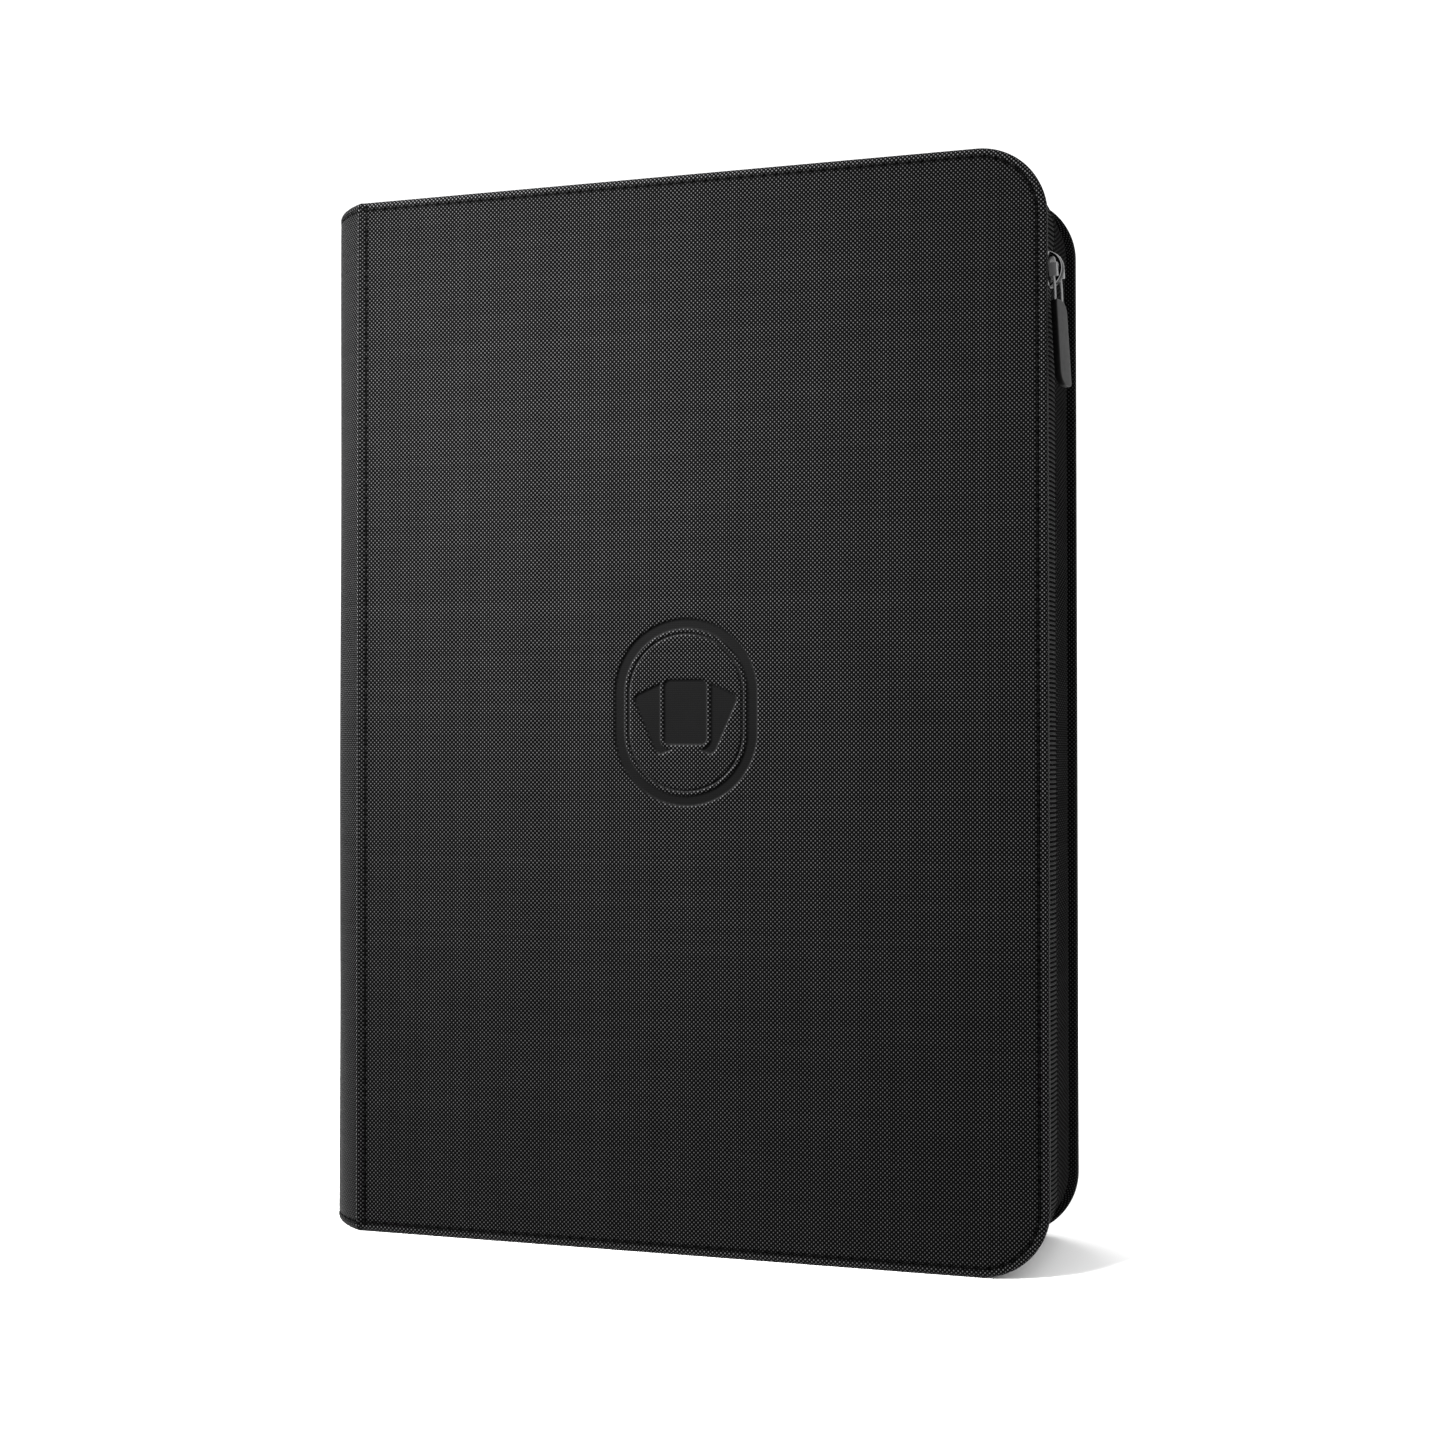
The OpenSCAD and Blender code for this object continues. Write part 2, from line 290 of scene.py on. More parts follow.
def badge_press(x, z):
    """How far the badge's parts are pressed in at (x, z), from 0 to 1."""
    x = x - BADGE_X
    z = z - BADGE_Z
    rim = inside_rounded(x, z, BADGE_W, BADGE_H, BADGE_W / 2 - 0.01)
    band = np.abs(rim + BAND / 2) - BAND / 2
    line = np.abs(rim + BAND + 1.5) - 0.3
    card = inside_rounded(x, z, CARD_W, CARD_H, 2.2)
    shapes = [band, line, card]
    for side in (-1, 1):
        cx = x - side * 7.0
        cz = z + 1.5
        turned_x = cx * math.cos(FAN) - side * cz * math.sin(FAN)
        turned_z = side * cx * math.sin(FAN) + cz * math.cos(FAN)
        shapes.append(np.maximum(inside_rounded(turned_x, turned_z, CARD_W, CARD_H, 2.2), 1.2 - card))
    return smooth(0.5 - np.minimum.reduce(shapes) / 0.6)


def painted_badge_slope_light(press, step):
    """Painted light and shade on the badge's slopes: painted shade on those at the upper left, painted
    highlight on those opposite.
    """
    over_x, over_z = np.gradient(press, step)
    slope = np.clip((over_x - over_z) / 2.6, -1, 1)
    return np.where(slope > 0, 0.9 * slope, 2.6 * slope)


def no_badge(x, _z):
    return np.zeros(np.shape(x))


# ---- covers ----
def edge_profile():
    """Inset and depth of the cloth from the face, over the rounded edge, to the end of the border that is
    turned in, with the length of cloth up to each point."""
    face = [(i, 0.0) for i in (6.5, 5.0, 4.0, 3.5, 3.15, 2.8, 2.45, 2.1)]
    r = EDGE_R
    outer = [(r - r * math.sin(a), r - r * math.cos(a)) for a in np.radians(range(0, 91, 18))]
    r = INNER_EDGE_R
    inner = [(r - r * math.cos(a), COVER_T - r + r * math.sin(a)) for a in np.radians(range(0, 91, 30))]
    border = [(5.0, COVER_T), (TURN_IN - 0.9, COVER_T)]
    border += [(TURN_IN - 0.3, COVER_T - 0.1), (TURN_IN, COVER_T - 0.45)]
    points = np.array(face + outer + inner + border)
    return points, points[0, 0] - np.concatenate([[0], np.cumsum(np.hypot(*np.diff(points, axis=0).T))])


def face_depth(x, z, badge):
    """Depth of a cover's outer face, apart from the seam round its edge."""
    return waviness(x, z) + PRESS * badge(x, z) + seam_dip(x - FOLD - FOLD_SEAM, z)


def cover_edge(shape, side, badge):
    """The stitched and turned-in border on three sides, and the (x, z) line where the flat face begins."""
    profile, reach = edge_profile()
    start = FOLD + FOLD_CLOTH
    length = edge_length(start, SEAM)
    s = np.linspace(0, length, round(length / STITCH) * STATIONS + 1)
    line, out = edge_at(s, start, SEAM)
    rim = line + out * SEAM
    flat = rim[:, None] - out[:, None] * profile[None, :, :1]
    cloth = rim[:, None] - out[:, None] * reach[None, :, None]
    on_face = profile[:, 1] < EDGE_R
    share = np.where(on_face, np.clip((profile[:, 0] - 0.2) / 1.5, 0, 1), 0)
    depth = profile[:, 1] + share * face_depth(flat[..., 0], flat[..., 1], badge)
    depth += on_face * seam_dip(profile[:, 0] - SEAM, s[:, None])
    depth -= 0.12 * np.exp(-((profile[:, 0] - 1.75) / 0.5) ** 2) * on_face
    y = side * (FACE - depth)
    shade = on_face * seam_shade(profile[:, 0] - SEAM, s[:, None])
    shade = np.maximum(shade, share * seam_shade(flat[..., 0] - FOLD - FOLD_SEAM, flat[..., 1]))
    # Painted highlight: the band between the edge and the seam is made brighter.
    shade = shade - EDGE_BAND_HIGHLIGHT * smooth((SEAM - 0.4 - profile[:, 0]) / 0.6) * (profile[:, 1] < EDGE_R + 0.5)
    shape.grid(from_flat(flat, y), cloth=cloth, seam=shade)
    return flat[:, 0]


def rectangle(x0, x1, z0, z1, step):
    xs = np.linspace(x0, x1, round((x1 - x0) / step) + 1)
    zs = np.linspace(z0, z1, round((z1 - z0) / step) + 1)
    return np.meshgrid(xs, zs, indexing="ij")


def around(x, z):
    """The closed line round a grid."""
    grid = np.stack([x, z], -1)
    return np.concatenate([grid[:-1, 0], grid[-1, :-1], grid[:0:-1, -1], grid[0, :0:-1]])


def fill(shape, loops, surface, spacing, hole=None):
    """Fills the flat part inside the loops with triangles, and leaves a rectangular hole open."""
    line = np.concatenate(loops)
    edges = []
    first = 0
    for loop in loops:
        n = len(loop)
        edges += [(first + i, first + (i + 1) % n) for i in range(n)]
        first += n
    low, high = line.min(0), line.max(0)
    x, z = rectangle(low[0] + spacing, high[0] - spacing, low[1] + spacing, high[1] - spacing, spacing)
    loose = np.stack([x.ravel(), z.ravel()], -1)
    gap = np.min(np.hypot(*(loose[:, None] - line[None, ::3]).transpose(2, 0, 1)), 1)
    loose = loose[gap > 2.0]
    made = delaunay_2d_cdt([Vector(p) for p in np.concatenate([line, loose])], edges, [], 1, 1e-5)
    flat = np.array([tuple(v) for v in made[0]])
    faces = np.array(made[2])
    if hole is not None:
        middle = flat[faces].mean(1)
        within = (middle > hole[0]).all(1) & (middle < hole[1]).all(1)
        faces = faces[~within]
    surface_points, press = surface(flat[:, 0], flat[:, 1])
    shape.add(surface_points, faces, flat, press)


def fold_strip(shape, inner_line, surface):
    """The seam beside the fold, which the ring round the edge meets above and below it. Gives the line
    where the rest of the face begins."""
    across = FOLD + np.array([FOLD_CLOTH, 1.8, 2.1, FOLD_SEAM, 2.7, 3.0, 3.5, 4.3])
    rows = np.linspace(inner_line[0, 1], inner_line[-1, 1], round((TALL - 13) / STITCH * 4) + 1)[1:-1]
    x, z = np.meshgrid(across, rows, indexing="ij")
    points, press = surface(x, z)
    shape.grid(points, press=press, seam=seam_shade(x - FOLD - FOLD_SEAM, z))
    strip = np.stack([x, z], -1)
    beyond = inner_line[:, 0] > across[-1] - 1e-6
    half = len(inner_line) // 2
    rest = inner_line[beyond]
    ladder(shape, inner_line[:half][~beyond[:half]], strip[:, 0], surface, rest[0])
    ladder(shape, inner_line[half:][~beyond[half:]], strip[:, -1], surface, rest[-1])
    return np.concatenate([rest, strip[-1, ::-1]])


def badge_patch(shape, surface):
    """The fine grid that carries the badge. Gives the line round it."""
    half_w = BADGE_W / 2 + 1
    half_h = BADGE_H / 2 + 1
    x, z = rectangle(BADGE_X - half_w, BADGE_X + half_w, BADGE_Z - half_h, BADGE_Z + half_h, 0.36)
    points, press = surface(x, z)
    # The seam attribute here carries the painted light and shade of the badge's slopes.
    shape.grid(points, press=press, seam=painted_badge_slope_light(press, x[1, 0] - x[0, 0]))
    return around(x, z)


def cover_cloth(half, badge, material):
    """A cover's woven skin: its face, its stitched edge and the border turned in over the board."""
    side = SIDE[half]
    shape = Shape()

    def surface(x, z):
        y = side * (FACE - face_depth(x, z, badge))
        return np.stack([x, y, z], -1), badge(x, z)

    inner_line = cover_edge(shape, side, badge)
    loops = [fold_strip(shape, inner_line, surface)]
    hole = None
    if badge is badge_press:
        rim = badge_patch(shape, surface)
        loops.append(rim)
        hole = (rim.min(0), rim.max(0))
    fill(shape, loops, surface, 6.0, hole)
    name = f"{half}_cover_cloth"
    node = f"{half}_cover_skin"
    return build(name, shape, material, half, [node], SKIN, (0, side, 0), 0.004)


def ladder(shape, ends, row, surface, beyond):
    """Fills the narrow gap between the edge's ring and the strip beside the fold."""
    line = np.concatenate([ends[np.argsort(ends[:, 0])], [beyond]])
    loop = np.concatenate([line, row[::-1]])
    edges = [(i, (i + 1) % len(loop)) for i in range(len(loop))]
    made = delaunay_2d_cdt([Vector(p) for p in loop], edges, [], 1, 1e-5)
    flat = np.array([tuple(v) for v in made[0]])
    points, press = surface(flat[:, 0], flat[:, 1])
    shape.add(points, made[2], flat, press)


# ---- stitches ----
STITCH_SHAPE = np.array([0.04, 0.14, 0.34, 0.5, 0.66, 0.86, 0.96])
STITCH_RISE = np.array([-0.6, -0.2, -0.06, -0.04, -0.06, -0.2, -0.6])
STITCH_FAT = np.array([0.55, 0.9, 1.0, 1.0, 1.0, 0.9, 0.55])


def stitch_row(shape, place, length, pitch=STITCH, size=THREAD):
    """One row of separate stitches. place gives the points, across and outward directions at distances."""
    count = max(1, round(length / pitch))
    s = (np.arange(count)[:, None] + STITCH_SHAPE[None]) * (length / count)
    centre, across, outward = place(s)
    centre = centre + outward * (STITCH_RISE[None, :, None] - 0.12)
    shape.tubes(centre, across, outward, np.broadcast_to(STITCH_FAT * size, s.shape))


def cover_stitches(half, material):
    side = SIDE[half]
    shape = Shape()
    start = FOLD + FOLD_CLOTH
    outward = np.array([0, side, 0])

    def round_edge(s):
        line, out = edge_at(s, start, SEAM)
        return from_flat(line, side * FACE), from_flat(out, 0.0), outward

    def by_fold(s):
        flat = np.stack([np.full(s.shape, FOLD + FOLD_SEAM), 0.9 + s], -1)
        return from_flat(flat, side * FACE), np.array([1, 0, 0]), outward

    stitch_row(shape, round_edge, edge_length(start, SEAM))
    stitch_row(shape, by_fold, TALL - 1.8)
    return build(f"{half}_cover_stitches", shape, material, half)


# ---- spine ----
def end_profile(deep):
    """Distance below the end and depth of cloth that wraps over the top of a layer that is deep thick."""
    face = [(i, 0.0) for i in (6.0, 4.6, 3.6, 3.15, 2.8, 2.45, 2.0)]
    r = deep / 2
    turn = [(r - r * math.sin(a), r - r * math.cos(a)) for a in np.radians(range(0, 181, 20))]
    return face + turn + [(5.0, deep), (9.0, deep), (9.6, deep - 0.3)]


def upright_rows(deep):
    """Heights and depths from the turned-in end at the foot, up the outside, to the one at the top."""
    top = np.array(end_profile(deep))
    rows = max(2, round((TALL - 12) / 8))
    middle = np.linspace(6.0, TALL - 6.0, rows + 1)[1:-1]
    heights = np.concatenate([top[::-1, 0], middle, TALL - top[:, 0]])
    depths = np.concatenate([top[::-1, 1], np.zeros(len(middle)), top[:, 1]])
    walk = np.concatenate([[0], np.cumsum(np.hypot(np.diff(heights), np.diff(depths)))])
    return heights, depths, walk


def spine_base(a):
    """Points and outward directions round the spine, at arc lengths a from its middle."""
    angle = a / SPINE_R
    out = np.stack([-np.cos(angle), np.sin(angle)], -1)
    return np.array([SPINE_X, 0]) + SPINE_R * out, out


def wrapped(base, out, along, deep):
    """An upright strip of cloth over a line (x, y), wrapped over at its top and foot."""
    heights, depths, walk = upright_rows(deep)
    on_face = (depths == 0)
    near_end = np.minimum(heights, TALL - heights)
    dip = on_face * seam_dip(near_end - SEAM, along[:, None])
    puff = on_face * 0.1 * np.exp(-((near_end - 1.75) / 0.45) ** 2)
    depth = depths[None] + dip - puff
    flat = base[:, None] - out[:, None] * depth[..., None]
    points = np.stack([flat[..., 0], flat[..., 1], np.broadcast_to(heights, depth.shape)], -1)
    cloth = np.stack(np.broadcast_arrays(along[:, None], walk[None] - walk[len(walk) // 2] + TALL / 2), -1)
    return points, cloth, on_face * seam_shade(near_end - SEAM, along[:, None])


def spine_cloth(material):
    shape = Shape()
    reach = SPINE_HALF - FOLD_CLOTH
    a = np.linspace(-reach, reach, round(2 * reach / STITCH) * STATIONS + 1)
    base, out = spine_base(a)
    points, cloth, shade = wrapped(base, out, a, 3.0)
    rise = 0.1 * np.sin(points[..., 2] / 27 + a[:, None] / 15) * smooth((reach - np.abs(a)) / 12)[:, None]
    points[..., :2] -= out[:, None] * rise[..., None]
    shape.grid(points, cloth=cloth, seam=shade)
    return build("spine_cloth", shape, material, "spine", ["spine_skin"], SKIN, (-1, 0, 0))


def spine_stitches(material):
    shape = Shape()
    reach = SPINE_HALF - FOLD_CLOTH
    for z in (SEAM, TALL - SEAM):
        def place(s, z=z):
            base, out = spine_base(s - reach)
            centre = np.dstack([base, np.full(s.shape, z)])
            outward = np.dstack([out, np.zeros(s.shape)])
            return centre, np.array([0, 0, 1]), outward
        stitch_row(shape, place, 2 * reach)
    return build("spine_stitches", shape, material, "spine")


def fold_cloth(half, material):
    """The cloth over a fold, a soft ridge between a cover and the spine."""
    side = SIDE[half]
    q = np.linspace(-FOLD_CLOTH, FOLD_CLOTH, 17)
    base, out = spine_base(side * (SPINE_HALF + np.minimum(q, 0)))
    base = base + np.stack([np.maximum(q, 0), 0 * q], -1)
    turn = smooth((q + 1.2) / 2.4)[:, None]
    out = out * (1 - turn) + np.array([0, side]) * turn
    out /= np.linalg.norm(out, axis=1)[:, None]
    base = base + out * (0.28 * np.exp(-((q + 0.1) / 0.7) ** 2))[:, None]
    points, cloth, shade = wrapped(base, out, q + FOLD, 3.0)
    # Painted highlight in a thin line on the spine's side of the fold, and painted shadow in the crease
    # beside it.
    ridge = 0.8 * np.exp(-((q + 0.2) / 0.35) ** 2) - 2.6 * np.exp(-((q + 1.0) / 0.4) ** 2)
    shape = Shape()
    shape.grid(points, cloth=cloth, seam=shade + ridge[:, None])
    piece = build(f"{half}_fold_cloth", shape, material, None, (), SKIN, (-0.3, side, 0))
    if half == "front":
        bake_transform(piece)
    else:
        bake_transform(piece)
    return piece


def hinge_edge(half, material):
    """The cloth turned in over a cover's edge at the fold."""
    low, high = FOLD + 0.2, FOLD + 1.15
    deep = np.array([0.95, 1.1, 2.0, 3.0, COVER_T - 0.5, COVER_T - 0.12, COVER_T, COVER_T, COVER_T - 0.15])
    x = np.array([low + 0.2, low, low, low, low, low + 0.12, low + 0.45, high - 0.1, high])
    z = np.concatenate([[0.3, 0.45], np.linspace(2, TALL - 2, 40), [TALL - 0.45, TALL - 0.3]])
    back_x = x[::-1] + np.where(x[::-1] < high - 0.3, SKIN, 0)
    back = np.stack([back_x, deep[::-1] * 0.9 + 0.2], -1)
    outline = np.concatenate([np.stack([x, deep], -1), back[2:-1]])
    shape = Shape()
    shape.grid(upright(outline[:, 0], SIDE[half] * (FACE - outline[:, 1]), z), ring=True, caps=True)
    return build(f"{half}_hinge_edge", shape, material, half)


# ---- linings ----
LINING_START = FOLD + 1.05
LINING_HEM = 3.1


def lining(half, material):
    """A cover's inner panel: thin cloth with a stitched hem, a little pillowed."""
    side = SIDE[half]
    shape = Shape()
    rims = np.array([6.0, 4.5, 3.6, 3.1, 2.6, 1.9, 1.2, 0.7, 0.3, 0.1, 0.0])
    falls = np.array([0, 0, 0, 0, 0, 0, 0, 0.03, 0.12, 0.28, 0.45])
    length = edge_length(LINING_START, TURN_IN)
    s = np.linspace(0, length, round(length / 1.5) + 1)
    line, out = edge_at(s, LINING_START, TURN_IN)
    flat = line[:, None] - out[:, None] * rims[None, :, None]

    def drop(x, z):
        return 0.05 + 0.05 * np.sin(x / 19) * np.sin(z / 26)

    hem = (rims > 1) * (0.12 * np.exp(-((rims - LINING_HEM) / 0.5) ** 2))
    depth = falls + hem + drop(flat[..., 0], flat[..., 1])
    shape.grid(from_flat(flat, side * (INNER + depth)))

    def surface(x, z):
        return np.stack([x, side * (INNER + drop(x, z)), z], -1), np.zeros(np.shape(x))

    fill(shape, [flat[:, 0]], surface, 12.0)
    name = f"{half}_lining_cloth"
    return build(name, shape, material, half, [f"{half}_lining"], 0.5, (0, -side, 0), 0.004)


def lining_stitches(half, material):
    side = SIDE[half]
    shape = Shape()
    inset = TURN_IN + LINING_HEM

    def place(s):
        line, out = edge_at(s, LINING_START, inset)
        return from_flat(line, side * (INNER + 0.08)), from_flat(out, 0.0), np.array([0, -side, 0])

    stitch_row(shape, place, edge_length(LINING_START, inset), 4.2, 0.24)
    return build(f"{half}_lining_stitches", shape, material, half)


def spine_panel(material):
    """The flat lining across the spine's hollow, with rounded long edges."""
    low, high = corners("spine_lining")
    outline = rounded_ring(high[0] - low[0], high[1] - low[1], 0.5, 0.0, 3)
    z = np.concatenate([[0, 0.15, 0.5], np.linspace(4, TALL - 4, 60), [TALL - 0.5, TALL - 0.15, TALL]])
    shrink = np.interp(np.minimum(z, TALL - z), [0, 0.15, 0.5], [0.8, 0.94, 1.0])
    middle = (low + high) / 2
    x = middle[0] + outline[:, 0] * shrink[:, None] + 0.06 * np.sin(z / 21)[:, None]
    y = middle[1] + outline[:, 1] * (0.99 + 0.01 * shrink[:, None])
    points = upright(x, y, z)
    shape = Shape()
    shape.grid(points, ring=True, caps=True, cloth=points[..., 1:])
    return build("spine_lining_cloth", shape, material, "spine", ["spine_lining"])


# ---- zip wall ----
def opening():
    """Distance along the wall at which the slider stands."""
    z = np.mean([corners("slider_body")[i][2] for i in (0, 1)])
    r = CORNER - WALL_INSET
    return FORE - CORNER - WALL_START + math.pi / 2 * r + (TALL - CORNER - z)


OPEN_AT = opening()
WALL_LENGTH = edge_length(WALL_START, WALL_INSET)
LEAN = {"front": math.radians(72), "back": math.radians(6)}
ROOT_Y = {"front": -INNER, "back": GUSSET_Y}
TAPE_W = {"front": FRONT_TAPE_EDGE + INNER, "back": GUSSET_Y - BACK_TAPE_EDGE}
ACROSS = {"front": 1, "back": -1}


def lean(half, s):
    """How far a tape leans into the case, where the zip is open beyond the slider."""
    return LEAN[half] * smooth((OPEN_AT - 3 - s) / 13) * smooth((s - 4) / 55)


def bulge(s, y):
    """How far the soft wall stands out between the covers. The zip, the slider and its ends hold it in."""
    across = np.sin(math.pi * np.clip((y + INNER) / (2 * INNER), 0, 1)) ** 0.55
    by_slider = 1 - np.exp(-((s - OPEN_AT) / 9) ** 4)
    by_zip = 1 - 0.8 * np.exp(-((y - ZIP_Y) / 5.2) ** 4)
    ends = smooth(s / 25) * smooth((WALL_LENGTH - s) / 25)
    return (1.35 + 0.5 * np.clip(y / INNER, -1, 1)) * across * by_slider * by_zip * ends


def wall_at(s, y, t):
    """A point on the wall, t inside its outer face."""
    line, out = edge_at(s, WALL_START, WALL_INSET)
    return from_flat(line - out * (np.asarray(t) - bulge(s, y))[..., None], y)


def tape_at(half, s, w, t):
    """A point on a tape, w across it from its root and t behind its face."""
    angle = lean(half, s)
    y = ROOT_Y[half] + ACROSS[half] * (w * np.cos(angle) - t * np.sin(angle))
    return wall_at(s, y, w * np.sin(angle) + t * np.cos(angle))


def tape(half, material):
    """A knitted tape with ribs across it and a rolled edge over the coil."""
    wide = TAPE_W[half]
    s = np.linspace(0, WALL_LENGTH, round(WALL_LENGTH / TOOTH) * 4 + 1)
    w = np.concatenate([np.linspace(0.9, wide - 1.7, 7), wide - np.array([1.2, 0.7, 0.25, 0.0])])
    roll = 0.22 * np.exp(-((wide - w - 0.75) / 0.5) ** 2)
    ribbed = smooth((w - 1.5) / 1.5) * 0.13
    wave = np.cos(2 * math.pi * s / TOOTH)[:, None]
    column = 1 - 0.9 * np.exp(-((wide - w - 2.2) / 0.5) ** 2)
    rib = wave * ribbed * column
    outer = tape_at(half, s[:, None], w[None], 0.12 - roll[None] - rib)
    inner = tape_at(half, s[:, None], w[None, ::-1], TAPE_T + 0 * s[:, None])
    hem_t = np.array([TAPE_T, 3.0, 5.8, 6.0, 5.8, 3.0, 0.7, 0.2])
    hem_w = np.array([0.85, 0.85, 0.8, 0.45, 0.1, 0.05, 0.05, 0.3])
    if half == "back":
        hem_t = np.array([TAPE_T + 0.1, TAPE_T + 0.5, TAPE_T + 0.4, TAPE_T - 0.1])
        hem_w = np.array([0.0, -1.5, -3.0, -3.0])
    hem = wall_at(s[:, None], ROOT_Y[half] + ACROSS[half] * hem_w[None], hem_t[None] + 0 * s[:, None])
    points = np.concatenate([outer, inner, hem], 1)
    across = np.concatenate([w, w[::-1], -hem_t])
    cloth = np.stack(np.broadcast_arrays(across[None], s[:, None]), -1)
    # Painted highlight: the ribs' crests are marked in press, to make the tape brighter there.
    painted_crest_highlight = np.zeros(points.shape[:2])
    painted_crest_highlight[:, : len(w)] = (0.5 + 0.5 * wave) * column
    shape = Shape()
    shape.grid(points, ring=True, caps=True, cloth=cloth, press=painted_crest_highlight)
    return build(f"zip_tape_{half}_knit", shape, material, half, [f"zip_tape_{half}"])


def coil(half, material):
    """A nylon coil sewn behind a tape's edge: one line wound round, its heads just past the edge."""
    start, stop = 3.4, WALL_LENGTH - 3.4
    turns = round((stop - start) / TOOTH)
    phase = 0.0 if half == "front" else 0.5
    step = np.arange(turns * 10 + 1) / 10
    s = start + (step + phase) * (stop - start) / (turns + 0.5)
    angle = 2 * math.pi * step
    core_w = TAPE_W[half] - 0.88
    core_t = TAPE_T + 0.78
    centre = tape_at(half, s, core_w + 1.05 * np.cos(angle), core_t - 0.5 * np.sin(angle))
    ahead = np.gradient(centre, axis=0)
    ahead /= np.linalg.norm(ahead, axis=1)[:, None]
    outward = centre - tape_at(half, s, core_w, core_t)
    outward -= np.sum(outward * ahead, 1)[:, None] * ahead
    outward /= np.linalg.norm(outward, axis=1)[:, None]
    across = np.cross(ahead, outward)
    shape = Shape()
    shape.tubes(centre[None], across[None], outward[None], np.full((1, len(s)), 0.27), 6)
    return build(f"zip_coil_{half}_teeth", shape, material, half, [f"zip_coil_{half}"])


def stops(half, material):
    """Two clamps that close a tape's ends."""
    low, high = corners(f"zip_stops_{half}")
    shape = Shape()
    long = 3.0
    tall = TAPE_T + 1.4
    for z in (WALL_INSET + tall / 2, TALL - WALL_INSET - tall / 2):
        centre = np.array([low[0] + long / 2, (low[1] + high[1]) / 2, z])
        pillow(shape, centre, (long, high[1] - low[1], tall + 0.3), 0.45)
    return build(f"zip_stops_{half}_clamps", shape, material, half, [f"zip_stops_{half}"])


def gusset(material):
    """The soft wall, sewn to the back tape and to the back cover, a little slack between them."""
    wide = INNER - GUSSET_Y
    s = np.linspace(0, WALL_LENGTH, round(WALL_LENGTH / 2.2) + 1)
    w = np.concatenate([[0, 0.25, 0.7, 1.3, 2.0, 2.6, 3.2], np.linspace(4.2, wide - 1.2, 15)])
    hem = 0.35 * np.exp(-((w - 1.0) / 0.9) ** 2) - 0.2 * np.exp(-((w - 2.6) / 0.4) ** 2)
    belly = np.sin(math.pi * np.clip((w - 2.6) / (wide - 2.6), 0, 1)) ** 0.8
    line = s[:, None]
    slack = 0.3 + 0.3 * np.sin(line / 31) * np.sin(line / 13 + 1) + 0.16 * np.sin(line / 5.5 + w[None] / 6)
    puckers = 0.1 * np.sin(line * 2 * math.pi / 7.8) * np.exp(-((w[None] - 3.6) / 1.8) ** 2)
    t = 0.4 - hem[None] + belly[None] * slack - puckers
    outer = wall_at(line, GUSSET_Y + w[None], t)
    ease = np.interp(w, [0, 1.5], [0.35, 1.0])
    inner = wall_at(line, GUSSET_Y + w[None, ::-1], (t + GUSSET_T * 0.8 * ease)[:, ::-1])
    flange_t = np.array([1.4, 3.5, 6.6, 6.8, 6.6, 3.5, 1.0, 0.5])
    flange_w = wide - np.array([0.9, 0.85, 0.8, 0.45, 0.1, 0.08, 0.08, 0.4])
    flange = wall_at(line, GUSSET_Y + flange_w[None, ::-1], flange_t[None, ::-1] + 0 * line)
    points = np.concatenate([outer, flange, inner], 1)
    across = np.concatenate([w, wide + flange_t[::-1], w[::-1]])
    cloth = np.stack(np.broadcast_arrays(across[None], line), -1)
    shape = Shape()
    shape.grid(points, ring=True, caps=True, cloth=cloth)
    piece = build("gusset_cloth", shape, material, "back", ["gusset"])
    return piece


def wall_stitches(material):
    """The seam that joins the gusset to the back tape."""
    shape = Shape()

    def place(s):
        outward = from_flat(edge_at(s, WALL_START, WALL_INSET)[1], 0.0)
        return wall_at(s, GUSSET_Y + 2.6, 0.42), np.array([0, 1, 0]), outward

    stitch_row(shape, place, WALL_LENGTH, 3.4, 0.27)
    return build("gusset_stitches", shape, material, "back")


# ---- small solid parts ----
def rounded_ring(w, h, r, inset, steps):
    """Points round a rounded rectangle that is drawn in by inset. r may be a radius for each corner."""
    radii = np.maximum(np.broadcast_to(r, 4) - inset, 0.01)
    points = []
    for quarter, corner in enumerate(((1, 1), (-1, 1), (-1, -1), (1, -1))):
        r = radii[quarter]
        half = np.array([w / 2 - inset - r, h / 2 - inset - r])
        for a in np.linspace(quarter, quarter + 1, steps + 1) * math.pi / 2:
            points.append(half * corner + r * np.array([math.cos(a), math.sin(a)]))
    return np.array(points)


def pillow(shape, centre, size, edge, turn=np.eye(3), corner=None, steps=5):
    """A block with every edge rounded, and its broad sides very slightly domed."""
    corner = edge * 1.6 if corner is None else corner
    angles = np.radians(np.linspace(0, 90, 5))
    insets = np.concatenate([[edge * 2.2], edge - edge * np.sin(angles)])
    levels = size[2] / 2 - edge + edge * np.cos(angles)
    levels = np.concatenate([[levels[0] + 0.03], levels])
    insets = np.concatenate([insets, insets[::-1]])
    levels = np.concatenate([-levels, levels[::-1]])
    rings = []
    for inset, level in zip(insets, levels):
        ring = rounded_ring(size[0], size[1], max(corner, edge), inset, steps)
        rings.append(np.column_stack([ring, np.full(len(ring), level)]))
    shape.grid(np.asarray(centre) + np.array(rings) @ np.asarray(turn).T, ring=True, caps=True)


